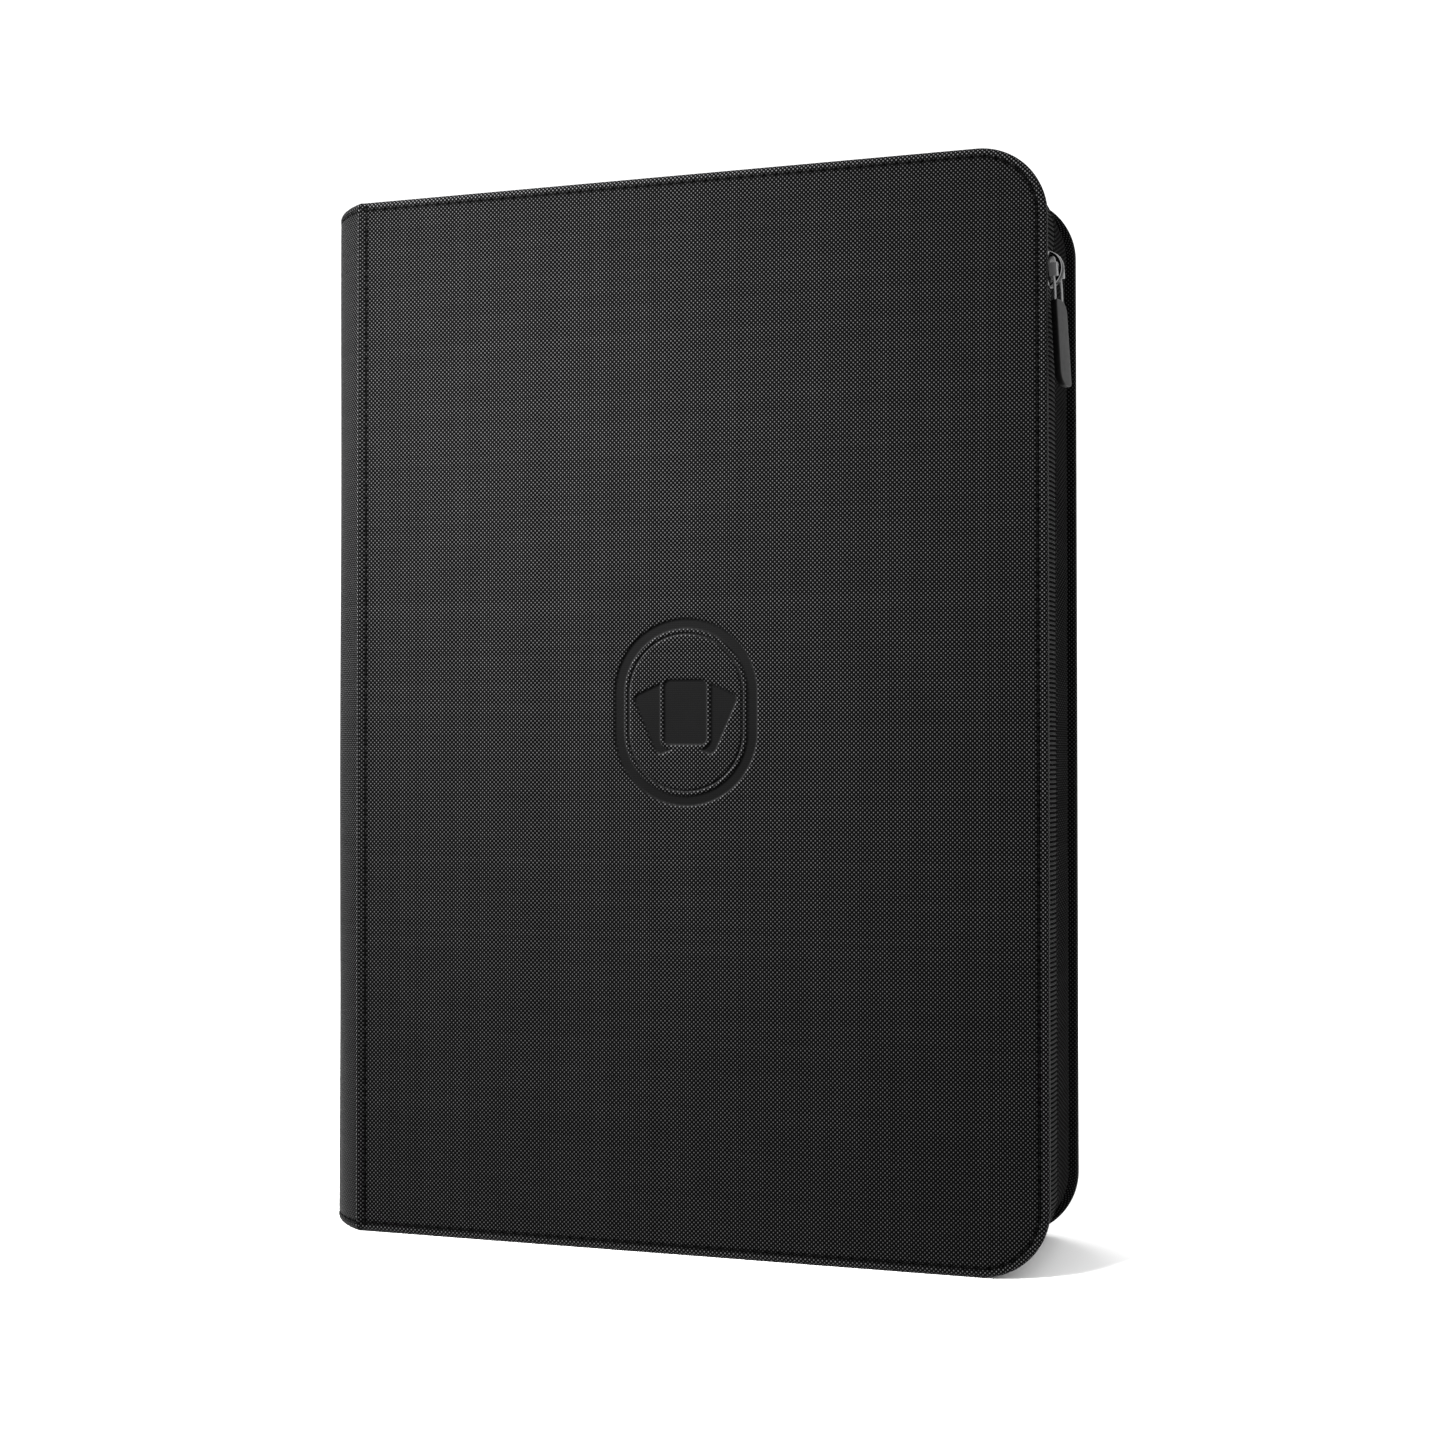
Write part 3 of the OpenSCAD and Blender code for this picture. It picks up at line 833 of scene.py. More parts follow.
SWING = joint("pull_swing")
OUT_V = -np.array(SWING["axis"], float)
OUT_W = np.array([0.0, 0.0, 1.0])
OUT_U = np.cross(OUT_V, OUT_W)
PIVOT = np.array(SWING["pos_m"]) / MM
PIVOT_U = 3.9
PIVOT_W = 1.1
SLIDER_AT = PIVOT - PIVOT_U * OUT_U - PIVOT_W * OUT_W
TO_UVW = np.stack([OUT_U, OUT_V, OUT_W], 1)
FLAT_ON_WALL = np.stack([OUT_V, OUT_W, OUT_U], 1)
PULL_LEAN = math.radians(3.5)
PULL_U = OUT_U * math.cos(PULL_LEAN) + OUT_W * math.sin(PULL_LEAN)
PULL_W = OUT_W * math.cos(PULL_LEAN) - OUT_U * math.sin(PULL_LEAN)
TO_PULL = np.stack([PULL_U, OUT_V, PULL_W], 1)
FLAT_ON_PULL = np.stack([OUT_V, PULL_W, PULL_U], 1)


def at_slider(u, v, w):
    return SLIDER_AT + np.stack(np.broadcast_arrays(u, v, w), -1).astype(float) @ TO_UVW.T


def plate(shape, side, u, thick, wide, tall, lip):
    """A slider plate: a rounded shield whose rim reaches lip deep towards the wall. side is 1 on the wall's
    outside and -1 behind it."""
    corner = wide / 2 - 0.01
    insets = np.array([0.9, 0.35, 0.1, 0.0, 0.0, 0.12, 0.5, 1.2, 2.4, 4.0])
    rim = lip * np.array([0.0, -0.9, -1.0, -0.5])
    back = thick + np.array([-0.405, -0.2, -0.05, 0.0, 0.06, 0.1])
    # Painted highlight: press marks the rings round the rounded rim, where the metal's colour is made
    # brighter.
    worn = np.array([0, 0, 0, 0, 0, 0.3, 1, 0.7, 0, 0, 0])
    inner = rounded_ring(wide, tall, corner, 1.3, 10)
    rings = [at_slider(u, inner[:, 0], inner[:, 1])]
    for inset, rise in zip(insets, np.concatenate([rim, back])):
        ring = rounded_ring(wide, tall, corner, inset, 10)
        taper = 1 - 0.1 * smooth((-ring[:, 1] - 1) / (tall / 2))
        rings.append(at_slider(u + side * rise, ring[:, 0] * taper, ring[:, 1]))
    worn = np.broadcast_to(worn[:, None], (len(rings), len(inner)))
    shape.grid(np.array(rings), ring=True, caps=True, press=worn)


def crown(shape):
    """The strap over the slider that the pull's bar passes under."""
    middle, radius, thick, wide = 0.3, 5.9, 1.0, 2.2
    section = rounded_ring(thick, wide, 0.24, 0.0, 3)
    a = np.radians(np.linspace(-74, 74, 41))
    flare = 1 + 0.35 * smooth((np.abs(np.degrees(a)) - 50) / 30)
    r = radius - thick / 2 + section[None, :, 0]
    u = middle + r * np.cos(a)[:, None]
    w = r * np.sin(a)[:, None]
    v = section[None, :, 1] * flare[:, None]
    # Painted highlight: press marks the strap's rounded corners, where the metal's colour is made brighter.
    worn = np.tile([0, 1, 1, 0], 4)
    shape.grid(at_slider(u, v, w), ring=True, caps=True, press=np.broadcast_to(worn, v.shape))


def slider(material):
    shape = Shape()
    plate(shape, 1, 1.5, 0.9, 8.0, 11.5, 0.2)
    plate(shape, -1, -4.2, 1.1, 6.5, 10.0, 0.6)
    crown(shape)
    post = SLIDER_AT + OUT_U * -1.2 + OUT_W * 2.6
    pillow(shape, post, (0.7, 4.0, 6.6), 0.2, FLAT_ON_WALL, 0.34)
    return build("slider_metal_body", shape, material, "slider", ["slider_body"])


def pull_wires(material):
    """The pull's bar with its two cheeks, and the wire legs that run down into the tab."""
    shape = Shape()
    v = np.linspace(-2.4, 2.4, 9)
    bar = PIVOT + np.stack([0 * v, v, 0 * v], -1) @ TO_PULL.T
    shape.tubes(bar[None], PULL_U, PULL_W, np.full((1, 9), 0.7), 16)
    for side in (-1, 1):
        cheek = PIVOT + OUT_V * side * 2.45 + PULL_W * -1.7
        pillow(shape, cheek, (1.3, 4.3, 2.8), 0.22, FLAT_ON_PULL, 0.3)
        w = np.linspace(-3.4, -15.5, 24)
        bow = 0.12 * np.sin(math.pi * np.clip((-w - 3.8) / 7.4, 0, 1))
        leg = PIVOT + np.stack([bow, side * (2.6 + 0 * w), w], -1) @ TO_PULL.T
        shape.tubes(leg[None], PULL_U, OUT_V, np.full((1, 24), 0.43), 12)
    return build("pull_wire_loop", shape, material, "pull", ["pull_loop"])


def pull_tab(material):
    """The moulded tab: broad flat faces with crisp edges, and two of its corners much rounder."""
    long, wide, thick = 26.5, 8.2, 2.1
    centre = PIVOT - PULL_W * (11.05 + long / 2)
    half = [(1.9, 0.03), (1.2, 0.02), (0.6, 0.0), (0.22, -0.01), (0.12, -0.05), (0.03, -0.14), (0.0, -0.3)]
    rings = []
    for inset, drop in half + [(0.02, -thick / 2)] + half[::-1]:
        upper = len(rings) < len(half)
        level = thick / 2 + drop if upper else -thick / 2 - drop
        if len(rings) == len(half):
            level = 0
        ring = rounded_ring(wide, long, (3.9, 1.2, 4.2, 1.2), inset, 9)
        ring[:, 0] *= 1 - 0.06 * smooth((ring[:, 1] - 2) / (long / 2))
        rings.append(centre + np.column_stack([ring, np.full(len(ring), level)]) @ FLAT_ON_PULL.T)
    shape = Shape()
    shape.grid(np.array(rings), ring=True, caps=True)
    return build("pull_tab_moulding", shape, material, "pull", ["pull_tab"])


# ---- leaves ----
RIB = ((-0.95, -0.55), (-0.75, -0.12), (-0.5, 0), (0.5, 0), (0.75, -0.12), (0.95, -0.55))
# grid lines across a pocket: where they lie, and how far each stands off the weld
POCKET_LINES = ((0, 0), (0.05, 0.55), (0.14, 0.8), (0.5, 1), (0.86, 0.8), (0.95, 0.55), (1, 0))


def binding_strip(material):
    """The strip that holds the leaves, with a narrow rib at each leaf."""
    low, high = corners("binding_strip")
    roots = [joint(f"leaf_{n:02d}_turn")["pos_m"][1] / MM for n in range(1, 21)]
    edge = []
    for y in roots:
        for off, rise in RIB:
            edge.append((high[0] + rise, y + off))
    far = [(high[0] - 0.7, high[1] - 0.2), (high[0] - 1.2, high[1])]
    far += [(low[0] + 0.4, high[1]), (low[0], high[1] - 0.4)]
    near = [(low[0], low[1] + 0.4), (low[0] + 0.4, low[1])]
    near += [(high[0] - 1.2, low[1]), (high[0] - 0.7, low[1] + 0.2)]
    outline = np.array(edge + far + near)
    z = np.concatenate([[low[2], low[2] + 0.12, low[2] + 0.4], np.linspace(low[2] + 6, high[2] - 6, 40),
                        [high[2] - 0.4, high[2] - 0.12, high[2]]])
    shrink = np.interp(np.minimum(z - low[2], high[2] - z), [0, 0.12, 0.4], [0.75, 0.92, 1])
    middle = (low[0] + high[0]) / 2
    x = middle + (outline[:, 0] - middle) * shrink[:, None]
    shape = Shape()
    shape.grid(upright(x, outline[:, 1], z), ring=True, caps=True)
    return build("binding_strip_ribbed", shape, material, "spine", ["binding_strip"])


def leaf_wave(n, x, z, low):
    """How far a leaf strays from flat: it stays close to its neighbours and still at its root."""
    share = smooth((x - low[0]) / 60)
    phase = n * 0.35
    broad = 0.32 * np.sin(x / 38 + phase) * np.cos(z / 47 + phase * 0.6)
    return share * (broad + 0.14 * np.sin(z / 21 + x / 60 + n))


def leaf_grid(low, high, step_x, step_z, corner):
    """A grid over a leaf, its two free corners rounded."""
    x = np.concatenate([np.linspace(low[0], high[0] - corner, max(3, round((high[0] - low[0]) / step_x))),
                        high[0] - corner + corner * np.sin(np.radians([18, 36, 54, 72, 90]))])
    z = np.linspace(-1, 1, max(3, round((high[2] - low[2]) / step_z)))
    over = np.maximum(x - (high[0] - corner), 0)
    half = (high[2] - low[2]) / 2 - (corner - np.sqrt(np.maximum(corner ** 2 - over ** 2, 0)))
    middle = (high[2] + low[2]) / 2
    return np.broadcast_to(x[:, None], (len(x), len(z))), middle + half[:, None] * z[None]


def leaf_backing(n, material):
    """A leaf's opaque sheet."""
    node = f"leaf_{n:02d}_backing"
    low, high = corners(node)
    x, z = leaf_grid(low, high, 11, 13, 3.0)
    y = (low[1] + high[1]) / 2 - 0.15 + leaf_wave(n, x, z, low)
    shape = Shape()
    shape.grid(np.stack([x, y, z], -1))
    name = f"leaf_{n:02d}_sheet"
    return build(name, shape, material, f"leaf_{n:02d}", [node], 0.3, (0, -1, 0))


def leaf_margin(n, material):
    """The leaf's flexible root, from inside the binding strip to its sheet."""
    low, high = corners(f"leaf_{n:02d}_backing")
    x = np.linspace(FOLD + 1.6, low[0] + 1.2, 9)
    z = np.linspace(low[2] + 2, high[2] - 2, 25)
    middle = (low[1] + high[1]) / 2
    gx, gz = np.meshgrid(x, z, indexing="ij")
    crease = 0.08 * np.exp(-((gx - low[0] + 0.6) / 0.5) ** 2)
    shape = Shape()
    shape.grid(np.stack([gx, middle - 0.24 + crease, gz], -1))
    piece = build(f"leaf_{n:02d}_root", shape, material, None, (), 0.48, (0, -1, 0))
    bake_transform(piece)
    return piece


def pocket_lines(start, size, weld, count):
    """Grid lines over a row of pockets and their welds, with how far each line is from a weld, 0 to 1."""
    lines, rise = [start], [0.0]
    at = start
    for _ in range(count):
        at += weld
        for share, height in POCKET_LINES:
            lines.append(at + share * size)
            rise.append(height)
        at += size
    lines.append(at + weld * 0.9)
    rise.append(0.0)
    return np.array(lines), np.array(rise)


def leaf_pockets(n, material):
    """Nine clear pockets on each face of a leaf, welded round and open at one side."""
    node = f"leaf_{n:02d}_pockets"
    low, high = corners(node)
    back_low, back_high = corners(f"leaf_{n:02d}_backing")
    middle = (back_low[1] + back_high[1]) / 2
    weld = 2.5
    wide = (high[0] - low[0] - 3 * weld) / 3
    tall = (high[2] - low[2] - 4 * weld) / 3
    shape = Shape()
    for column in range(3):
        x0 = low[0] + column * (wide + weld)
        xs, up_x = pocket_lines(x0, wide - 1.0, weld * 0.5, 1)
        zs, up_z = pocket_lines(low[2] + 0.5, tall, weld, 3)
        gx, gz = np.meshgrid(xs, zs, indexing="ij")
        for side in (-1, 1):
            lift = np.sqrt(up_x[:, None] * up_z[None]) * (0.42 + 0.08 * math.sin(n * 2.1 + column))
            y = middle + leaf_wave(n, gx, gz, back_low) + side * (0.18 + lift)
            sheet = np.stack([gx, y, gz], -1)
            under = sheet - np.array([0, side * 0.12, 0])
            first = shape.count
            shape.grid(sheet)
            shape.grid(under)
            skirt(shape, first, sheet.shape[:2])
    return build(f"leaf_{n:02d}_films", shape, material, f"leaf_{n:02d}", [node])


def skirt(shape, first, size):
    """Closes the edge between two equal grids that follow each other in the shape."""
    rows, cols = size
    index = np.arange(rows * cols).reshape(size)
    rim = np.concatenate([index[:-1, 0], index[-1, :-1], index[:0:-1, -1], index[0, :0:-1]])
    after = np.roll(rim, -1)
    below = rows * cols
    faces = np.stack([rim, after, after + below, rim + below], -1) + first
    shape.faces += faces.tolist()


# ---- materials ----
class Paint:
    """A material's node tree, with short ways to add nodes."""

    def __init__(self, name):
        self.material = bpy.data.materials.new(name)
        self.material.use_nodes = True
        self.tree = self.material.node_tree
        self.shader = self.tree.nodes["Principled BSDF"]

    def node(self, kind, **settings):
        made = self.tree.nodes.new(kind)
        for key, value in settings.items():
            setattr(made, key, value)
        return made

    def join(self, source, target):
        self.tree.links.new(source, target)

    def math(self, operation, a, b=None, c=None):
        made = self.node("ShaderNodeMath", operation=operation)
        for socket, value in zip(made.inputs, (a, b, c)):
            if value is None:
                continue
            if isinstance(value, (int, float)):
                socket.default_value = value
            else:
                self.join(value, socket)
        return made.outputs[0]

    def mix(self, share, a, b):
        """a at share 0, b at share 1."""
        return self.math("MULTIPLY_ADD", share, self.math("SUBTRACT", b, a), a)

    def attribute(self, name):
        return self.node("ShaderNodeAttribute", attribute_name=name)

    def place(self):
        return self.node("ShaderNodeTexCoord").outputs["Object"]

    def noise(self, vector, scale, detail=3.0, rough=0.55):
        made = self.node("ShaderNodeTexNoise")
        self.join(vector, made.inputs["Vector"])
        made.inputs["Scale"].default_value = scale
        made.inputs["Detail"].default_value = detail
        made.inputs["Roughness"].default_value = rough
        return made.outputs["Fac"]

    def flat(self, **values):
        for key, value in values.items():
            self.shader.inputs[key.replace("_", " ")].default_value = value

    def grey(self, value, tint=(1.0, 1.0, 1.0)):
        """Sets the base colour to a grey, given as a node output, times a tint."""
        colour = self.node("ShaderNodeCombineColor")
        for socket, share in zip(colour.inputs, tint):
            self.join(self.math("MULTIPLY", value, share), socket)
        self.join(colour.outputs[0], self.shader.inputs["Base Color"])

    def bump(self, height, distance, strength=1.0):
        made = self.node("ShaderNodeBump")
        made.inputs["Distance"].default_value = distance
        made.inputs["Strength"].default_value = strength
        self.join(height, made.inputs["Height"])
        self.join(made.outputs[0], self.shader.inputs["Normal"])


def weave_pattern(paint, u, v, pitch):
    """A plain weave over (u, v) in millimetres: its height, and 1 where the upright threads are on top."""
    across = paint.math("DIVIDE", u, pitch)
    along = paint.math("DIVIDE", v, pitch)
    cell = paint.math("ADD", paint.math("FLOOR", across), paint.math("FLOOR", along))
    upright = paint.math("FLOORED_MODULO", cell, 2.0)
    round_u = paint.math("SINE", paint.math("MULTIPLY", paint.math("FRACT", across), math.pi))
    round_v = paint.math("SINE", paint.math("MULTIPLY", paint.math("FRACT", along), math.pi))
    warp = paint.math("MULTIPLY", paint.math("POWER", round_u, 0.75), paint.math("POWER", round_v, 0.55))
    weft = paint.math("MULTIPLY", paint.math("POWER", round_v, 0.75), paint.math("POWER", round_u, 0.55))
    return paint.mix(upright, weft, warp), upright, across, along


def thread_tone(paint, across, along):
    """Slightly different tone from thread to thread, both ways."""
    tones = []
    for line, seed in ((across, 3.0), (along, 11.0)):
        made = paint.node("ShaderNodeTexWhiteNoise", noise_dimensions="1D")
        paint.join(paint.math("ADD", paint.math("FLOOR", line), seed), made.inputs["W"])
        tones.append(made.outputs["Value"])
    return paint.math("MULTIPLY_ADD", paint.math("ADD", tones[0], tones[1]), 0.16, 0.84)


def woven_cloth():
    """The covers' coarse polyester weave, flat and smooth where the badge is pressed."""
    paint = Paint("cover_weave")
    where = paint.node("ShaderNodeSeparateXYZ")
    paint.join(paint.attribute("cloth").outputs["Vector"], where.inputs[0])
    press = paint.attribute("press").outputs["Fac"]
    seam = paint.attribute("seam").outputs["Fac"]
    height, upright, across, along = weave_pattern(paint, where.outputs[0], where.outputs[1], 0.69)
    tone = thread_tone(paint, across, along)
    # Painted highlight and shade: the colour is brightest on the threads' crowns, most on the upright
    # threads, and dark in the gaps between the threads.
    lit = paint.math("POWER", height, 3.2)
    dots = paint.math("MULTIPLY", lit, paint.math("MULTIPLY_ADD", upright, 0.041, 0.0004))
    base = paint.math("ADD", dots, 0.0002)
    worn = paint.noise(paint.place(), 60.0, 4.0)
    worn = paint.math("MULTIPLY_ADD", worn, 0.35, 0.82)
    woven = paint.math("MULTIPLY", paint.math("MULTIPLY", base, tone), worn)
    # Painted highlight: the colour is a little brighter on all the badge's slopes.
    slope = paint.math("MULTIPLY", press, paint.math("SUBTRACT", 1.0, press))
    pressed = paint.math("MULTIPLY", worn, paint.math("MULTIPLY_ADD", slope, 0.006, 0.0019))
    # The seam attribute paints light and shade into the colour: painted shadow along the seams and in the
    # needle holes, painted highlight on the raised band by the edge, a painted highlight line and a painted
    # shadow line at the fold, and painted light and shade on the badge's slopes.
    shade = paint.math("MULTIPLY_ADD", seam, -0.96, 1.0)
    paint.grey(paint.math("MULTIPLY", paint.mix(press, woven, pressed), shade), (1.0, 1.0, 1.02))
    rough = paint.math("MULTIPLY_ADD", upright, -0.12, 0.5)
    paint.join(paint.mix(press, rough, 0.5), paint.shader.inputs["Roughness"])
    fuzz = paint.noise(paint.place(), 5200.0, 2.0)
    raised = paint.math("MULTIPLY", height, paint.mix(press, 1.0, 0.12))
    relief = paint.math("MULTIPLY_ADD", fuzz, 0.12, raised)
    paint.bump(relief, 0.0002, 0.9)
    paint.flat(Specular_IOR_Level=0.0075)
    return paint.material


def thread_polyester():
    """Twisted sewing thread."""
    paint = Paint("sewing_thread")
    twist = paint.node("ShaderNodeTexWave", wave_type="BANDS", bands_direction="DIAGONAL")
    paint.join(paint.place(), twist.inputs["Vector"])
    twist.inputs["Scale"].default_value = 900.0
    twist.inputs["Distortion"].default_value = 1.5
    paint.grey(paint.math("MULTIPLY_ADD", twist.outputs["Fac"], 0.0018, 0.0004))
    paint.bump(twist.outputs["Fac"], 0.00006, 0.7)
    paint.flat(Roughness=0.6, Specular_IOR_Level=0.006)
    return paint.material


def knit_tape():
    """A zip tape's warp knit: fine columns of chevrons along it."""
    paint = Paint("zip_tape_knit")
    where = paint.node("ShaderNodeSeparateXYZ")
    paint.join(paint.attribute("cloth").outputs["Vector"], where.inputs[0])
    column = paint.math("DIVIDE", where.outputs[0], 0.62)
    half = paint.math("PINGPONG", column, 0.5)
    slant = paint.math("MULTIPLY_ADD", half, 0.3, paint.math("DIVIDE", where.outputs[1], 0.5))
    loops = paint.math("ABSOLUTE", paint.math("SINE", paint.math("MULTIPLY", slant, math.pi)))
    walls = paint.math("ABSOLUTE", paint.math("SINE", paint.math("MULTIPLY", column, math.pi)))
    knit = paint.math("MULTIPLY", paint.math("POWER", loops, 0.8), paint.math("POWER", walls, 0.5))
    cloud = paint.noise(paint.place(), 90.0)
    # Painted highlight: the tape's colour is brighter on the ribs' crests.
    painted_crest_highlight = paint.math("POWER", paint.attribute("press").outputs["Fac"], 2.0)
    base = paint.math("MULTIPLY_ADD", knit, paint.math("MULTIPLY_ADD", painted_crest_highlight, 0.09, 0.0004), 0.0002)
    paint.grey(paint.math("MULTIPLY", base, paint.math("MULTIPLY_ADD", cloud, 0.5, 0.75)))
    paint.bump(knit, 0.00018, 0.9)
    paint.flat(Roughness=0.8, Specular_IOR_Level=0.003)
    return paint.material


def fine_cloth(name, low, high, pitch, sheen, depth, specular, long=1.0):
    """A fine plain cloth, for the gusset and the linings. Its crosswise floats may be long."""
    paint = Paint(name)
    where = paint.node("ShaderNodeSeparateXYZ")
    paint.join(paint.attribute("cloth").outputs["Vector"], where.inputs[0])
    u = paint.math("DIVIDE", where.outputs[0], long)
    height, upright, across, along = weave_pattern(paint, u, where.outputs[1], pitch)
    tone = thread_tone(paint, across, along)
    cloud = paint.math("MULTIPLY_ADD", paint.noise(paint.place(), 70.0, 4.0), 0.5, 0.75)
    thread = paint.math("MULTIPLY", height, tone)
    thread = paint.math("MULTIPLY", thread, paint.math("MULTIPLY_ADD", upright, 0.75, 0.25))
    base = paint.math("MULTIPLY_ADD", thread, high - low, low)
    paint.grey(paint.math("MULTIPLY", base, cloud))
    paint.bump(height, depth, 0.8)
    paint.join(paint.math("MULTIPLY_ADD", cloud, 0.2, 0.5), paint.shader.inputs["Roughness"])
    paint.flat(Specular_IOR_Level=specular, Sheen_Weight=sheen, Sheen_Roughness=0.5)
    return paint.material


def greyboard():
    """Black pressed paper board with flecks."""
    paint = Paint("greyboard")
    fleck = paint.noise(paint.place(), 900.0, 5.0, 0.7)
    cloud = paint.noise(paint.place(), 60.0)
    ground = paint.math("MULTIPLY_ADD", cloud, 0.006, 0.004)
    paint.grey(paint.math("MULTIPLY_ADD", fleck, 0.012, ground), (1.0, 0.97, 0.93))
    paint.bump(fleck, 0.0001, 0.5)
    paint.flat(Roughness=0.92, Specular_IOR_Level=0.02)
    return paint.material


def plastic(name, value, rough, grain, depth, specular=0.5):
    """Moulded or sheet plastic with a fine grain."""
    paint = Paint(name)
    fine = paint.noise(paint.place(), grain, 4.0, 0.6)
    broad = paint.noise(paint.place(), 45.0, 3.0)
    paint.grey(paint.math("MULTIPLY", paint.math("MULTIPLY_ADD", broad, 0.4, 0.8), value))
    paint.join(paint.math("MULTIPLY_ADD", fine, 0.22, rough - 0.11), paint.shader.inputs["Roughness"])
    paint.bump(fine, depth, 0.6)
    paint.flat(Specular_IOR_Level=specular)
    return paint.material


def metal(name, value, rough, scratch, edge=None, metallic=1.0):
    """Plated metal with fine scratches and a little handling wear, and a painted highlight in the edge colour
    where press marks its edges.
    """
    paint = Paint(name)
    if edge is not None:
        value = paint.mix(paint.attribute("press").outputs["Fac"], value, edge)
    stretch = paint.node("ShaderNodeMapping")
    paint.join(paint.place(), stretch.inputs["Vector"])
    stretch.inputs["Scale"].default_value = (scratch, scratch, scratch * 0.12)
    lines = paint.noise(stretch.outputs[0], 30.0, 5.0, 0.65)
    worn = paint.noise(paint.place(), 400.0, 3.0)
    paint.grey(paint.math("MULTIPLY", paint.math("MULTIPLY_ADD", worn, 0.3, 0.85), value), (1.0, 1.0, 1.01))
    paint.join(paint.math("MULTIPLY_ADD", lines, 0.25, rough - 0.1), paint.shader.inputs["Roughness"])
    paint.bump(lines, 0.00003, 0.4)
    paint.flat(Metallic=metallic)
    return paint.material


def clear_film():
    """Thin clear polypropylene, faintly cloudy, with soft shine."""
    paint = Paint("clear_film")
    cloud = paint.noise(paint.place(), 35.0, 3.0)
    grain = paint.noise(paint.place(), 1600.0, 2.0)
    paint.grey(paint.math("MULTIPLY_ADD", cloud, 0.1, 0.22))
    paint.join(paint.math("MULTIPLY_ADD", cloud, 0.1, 0.08), paint.shader.inputs["Alpha"])
    paint.join(paint.math("MULTIPLY_ADD", grain, 0.1, 0.14), paint.shader.inputs["Roughness"])
    paint.bump(cloud, 0.0006, 0.35)
    paint.flat(IOR=1.49, Specular_IOR_Level=0.3)
    return paint.material


# ---- floor, light and camera ----
def pale_floor():
    """A pale floor that runs out of sight."""
    paint = Paint("pale_floor")
    dust = paint.noise(paint.place(), 4.0, 3.0)
    paint.grey(paint.math("MULTIPLY_ADD", dust, 0.02, 0.955))
    paint.flat(Roughness=0.9, Specular_IOR_Level=0.1)
    size = 30.0
    mesh = bpy.data.meshes.new("floor")
    square = [(-size, -size, 0), (size, -size, 0), (size, size, 0), (-size, size, 0)]
    mesh.from_pydata(square, [], [(0, 1, 2, 3)])
    mesh.materials.append(paint.material)
    floor = bpy.data.objects.new("floor", mesh)
    floor.location.z = -0.0002
    bpy.context.scene.collection.objects.link(floor)


def area_light(name, place, target, size, power):
    """A soft square light at place that faces target, in metres."""
    data = bpy.data.lights.new(name, "AREA")
    data.shape = "RECTANGLE"
    data.size, data.size_y = size
    data.energy = power
    lamp = bpy.data.objects.new(name, data)
    lamp.location = place
    lamp.rotation_euler = (Vector(target) - Vector(place)).to_track_quat("-Z", "Y").to_euler()
    bpy.context.scene.collection.objects.link(lamp)
    return lamp


def studio():
    world = bpy.data.worlds.new("studio")
    world.use_nodes = True
    world.node_tree.nodes["Background"].inputs["Color"].default_value = (1, 1, 1, 1)
    world.node_tree.nodes["Background"].inputs["Strength"].default_value = 1.28
    bpy.context.scene.world = world
    bpy.context.scene.view_settings.view_transform = "Standard"
    area_light("side", (-0.62, -0.3, 0.4), (-0.12, 0, 0.18), (0.3, 0.5), 4.1)
    area_light("back", (-0.35, 0.75, 0.5), (0, 0.03, 0.17), (0.5, 0.5), 5.0)
    key = area_light("key", (-0.16, -0.45, 0.42), (-0.055, -0.03, 0.255), (0.12, 0.12), 3.6)
    key.data.spread = math.radians(75)


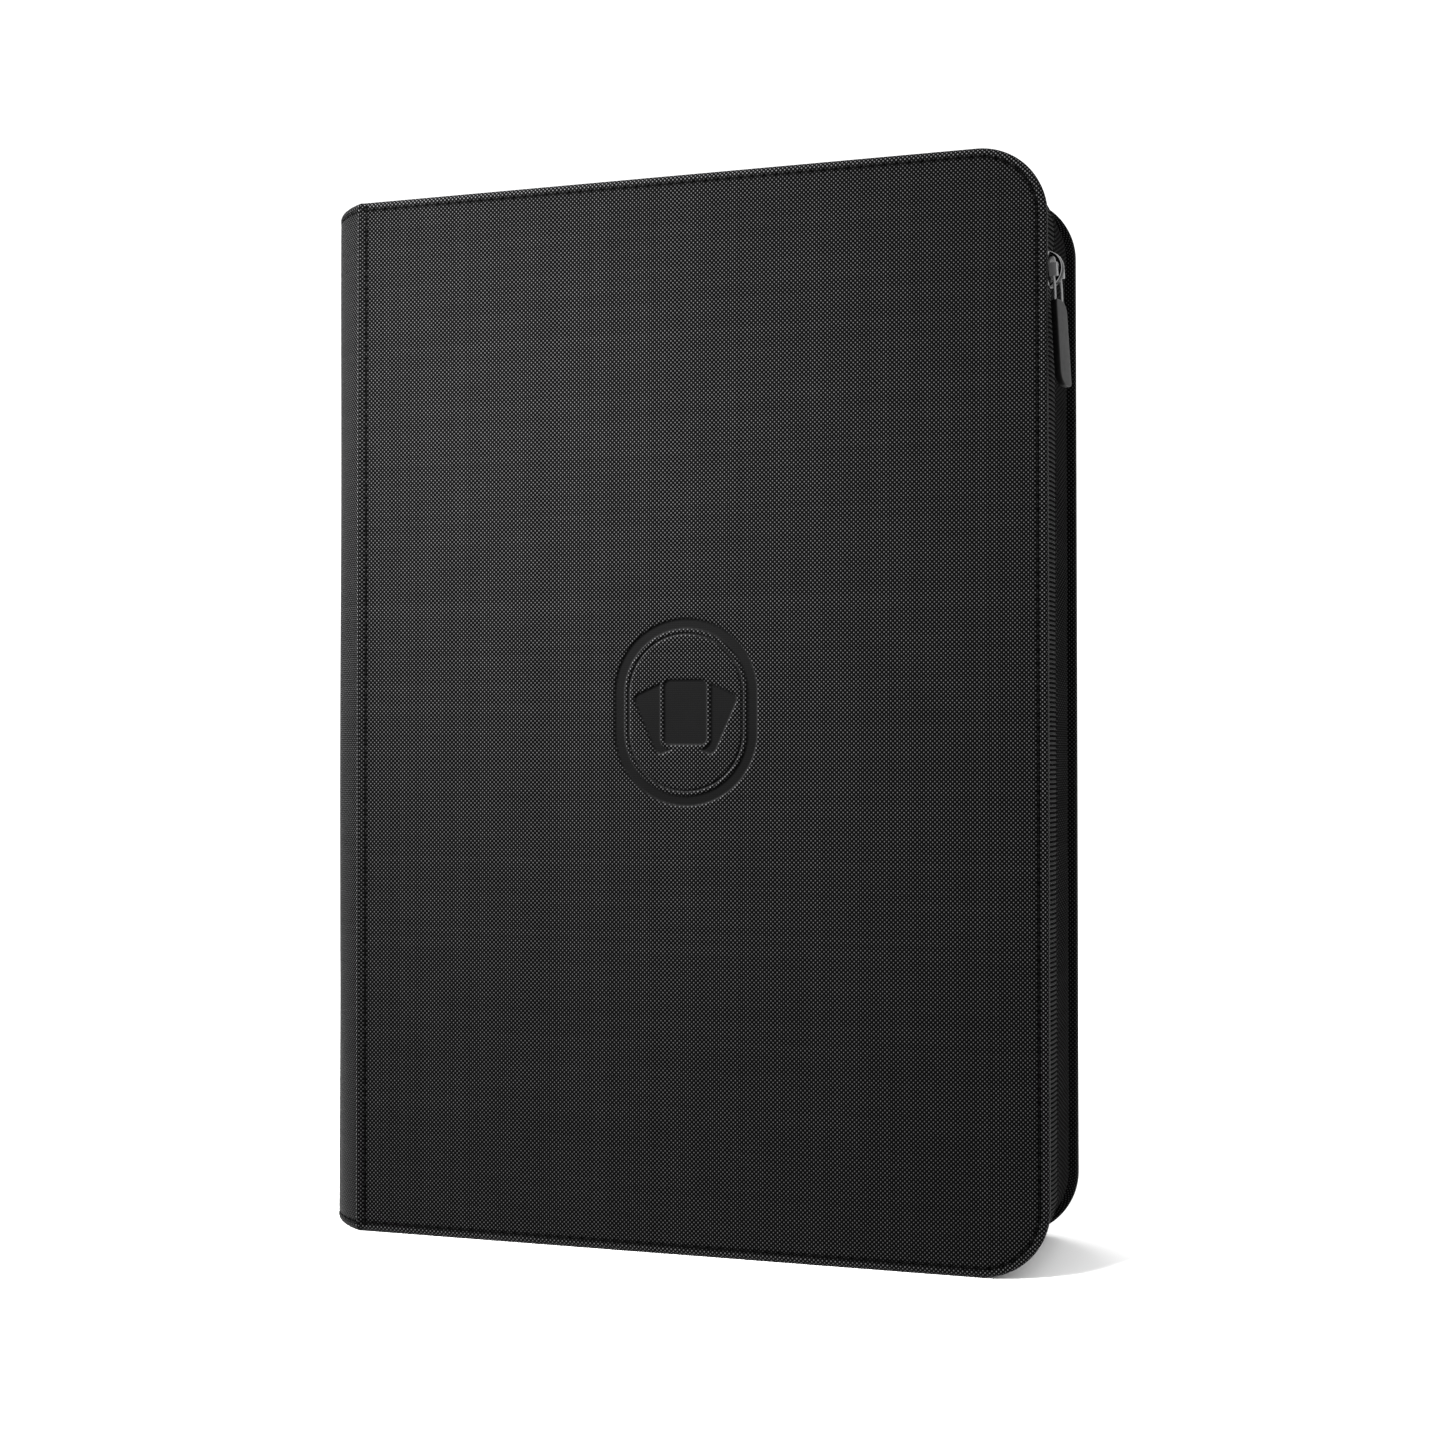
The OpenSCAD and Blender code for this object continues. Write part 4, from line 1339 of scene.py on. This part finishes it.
def camera():
    """The photograph's viewpoint: a little to the fore-edge side, at mid-height."""
    data = bpy.data.cameras.new("camera")
    data.lens = 51.6
    data.sensor_width = 36
    data.clip_start = 0.01
    data.clip_end = 100
    seen = bpy.data.objects.new("camera", data)
    place = Matrix.Translation(Vector((FORE + 95.2, -FACE - 625.6, 159.5)) * MM)
    turn = Matrix.Rotation(math.radians(17.58), 4, "Z") @ Matrix.Rotation(math.radians(90.85), 4, "X")
    seen.matrix_world = place @ turn @ Matrix.Rotation(math.radians(-0.04), 4, "Z")
    bpy.context.scene.collection.objects.link(seen)
    bpy.context.scene.camera = seen


def case(thread):
    """The covers, the spine and their linings."""
    weave = woven_cloth()
    lined = fine_cloth("lining_cloth", 0.0045, 0.019, 0.36, 0.01, 0.00008, 0.07)
    cover_cloth("front", badge_press, weave)
    cover_cloth("back", no_badge, weave)
    for half in SIDE:
        cover_stitches(half, thread)
    spine_cloth(weave)
    spine_stitches(thread)
    for make, cloth in ((fold_cloth, weave), (hinge_edge, weave), (lining, lined), (lining_stitches, thread)):
        for half in SIDE:
            make(half, cloth)
    spine_panel(lined)


def zip_wall(thread):
    """The two halves of the zip, their stops, and the gusset."""
    knit = knit_tape()
    nylon = plastic("zip_nylon", 0.012, 0.32, 900, 0.00002)
    soft = fine_cloth("gusset_cloth", 0.0002, 0.024, 0.74, 0.0004, 0.0003, 0.0, 3.0)
    for half in SIDE:
        piece = tape(half, knit)
    for half in SIDE:
        coil(half, nylon)
    dull = metal("stop_metal", 0.12, 0.4, 60)
    for half in SIDE:
        stops(half, dull)
    gusset(soft)
    wall_stitches(thread)


def slider_and_pull():
    # The slider's metal is painted much brighter where press marks its rims and corners: a painted highlight.
    slider(metal("slider_gunmetal", 0.0105, 0.26, 60, 0.26))
    pull_wires(metal("pull_wire_metal", 0.21, 0.34, 60, metallic=0.4))
    pull_tab(plastic("pull_plastic", 0.0018, 0.4, 700, 0.00003, 0.13))


def leaves():
    binding_strip(plastic("strip_plastic", 0.01, 0.5, 800, 0.00003, 0.08))
    sheet_black = plastic("leaf_polypropylene", 0.008, 0.46, 500, 0.00004, 0.12)
    film = clear_film()
    for n in range(1, 21):
        leaf_backing(n, sheet_black)
        leaf_margin(n, sheet_black)
        leaf_pockets(n, film)


def boards():
    """The frame's own boards, in greyboard."""
    board = greyboard()
    for node in ("front_board", "back_board", "spine_board"):
        piece = frame["nodes"][node]
        piece.data.materials.clear()
        piece.data.materials.append(board)


polyester = thread_polyester()
case(polyester)
zip_wall(polyester)
slider_and_pull()
leaves()
boards()
pale_floor()
studio()
camera()
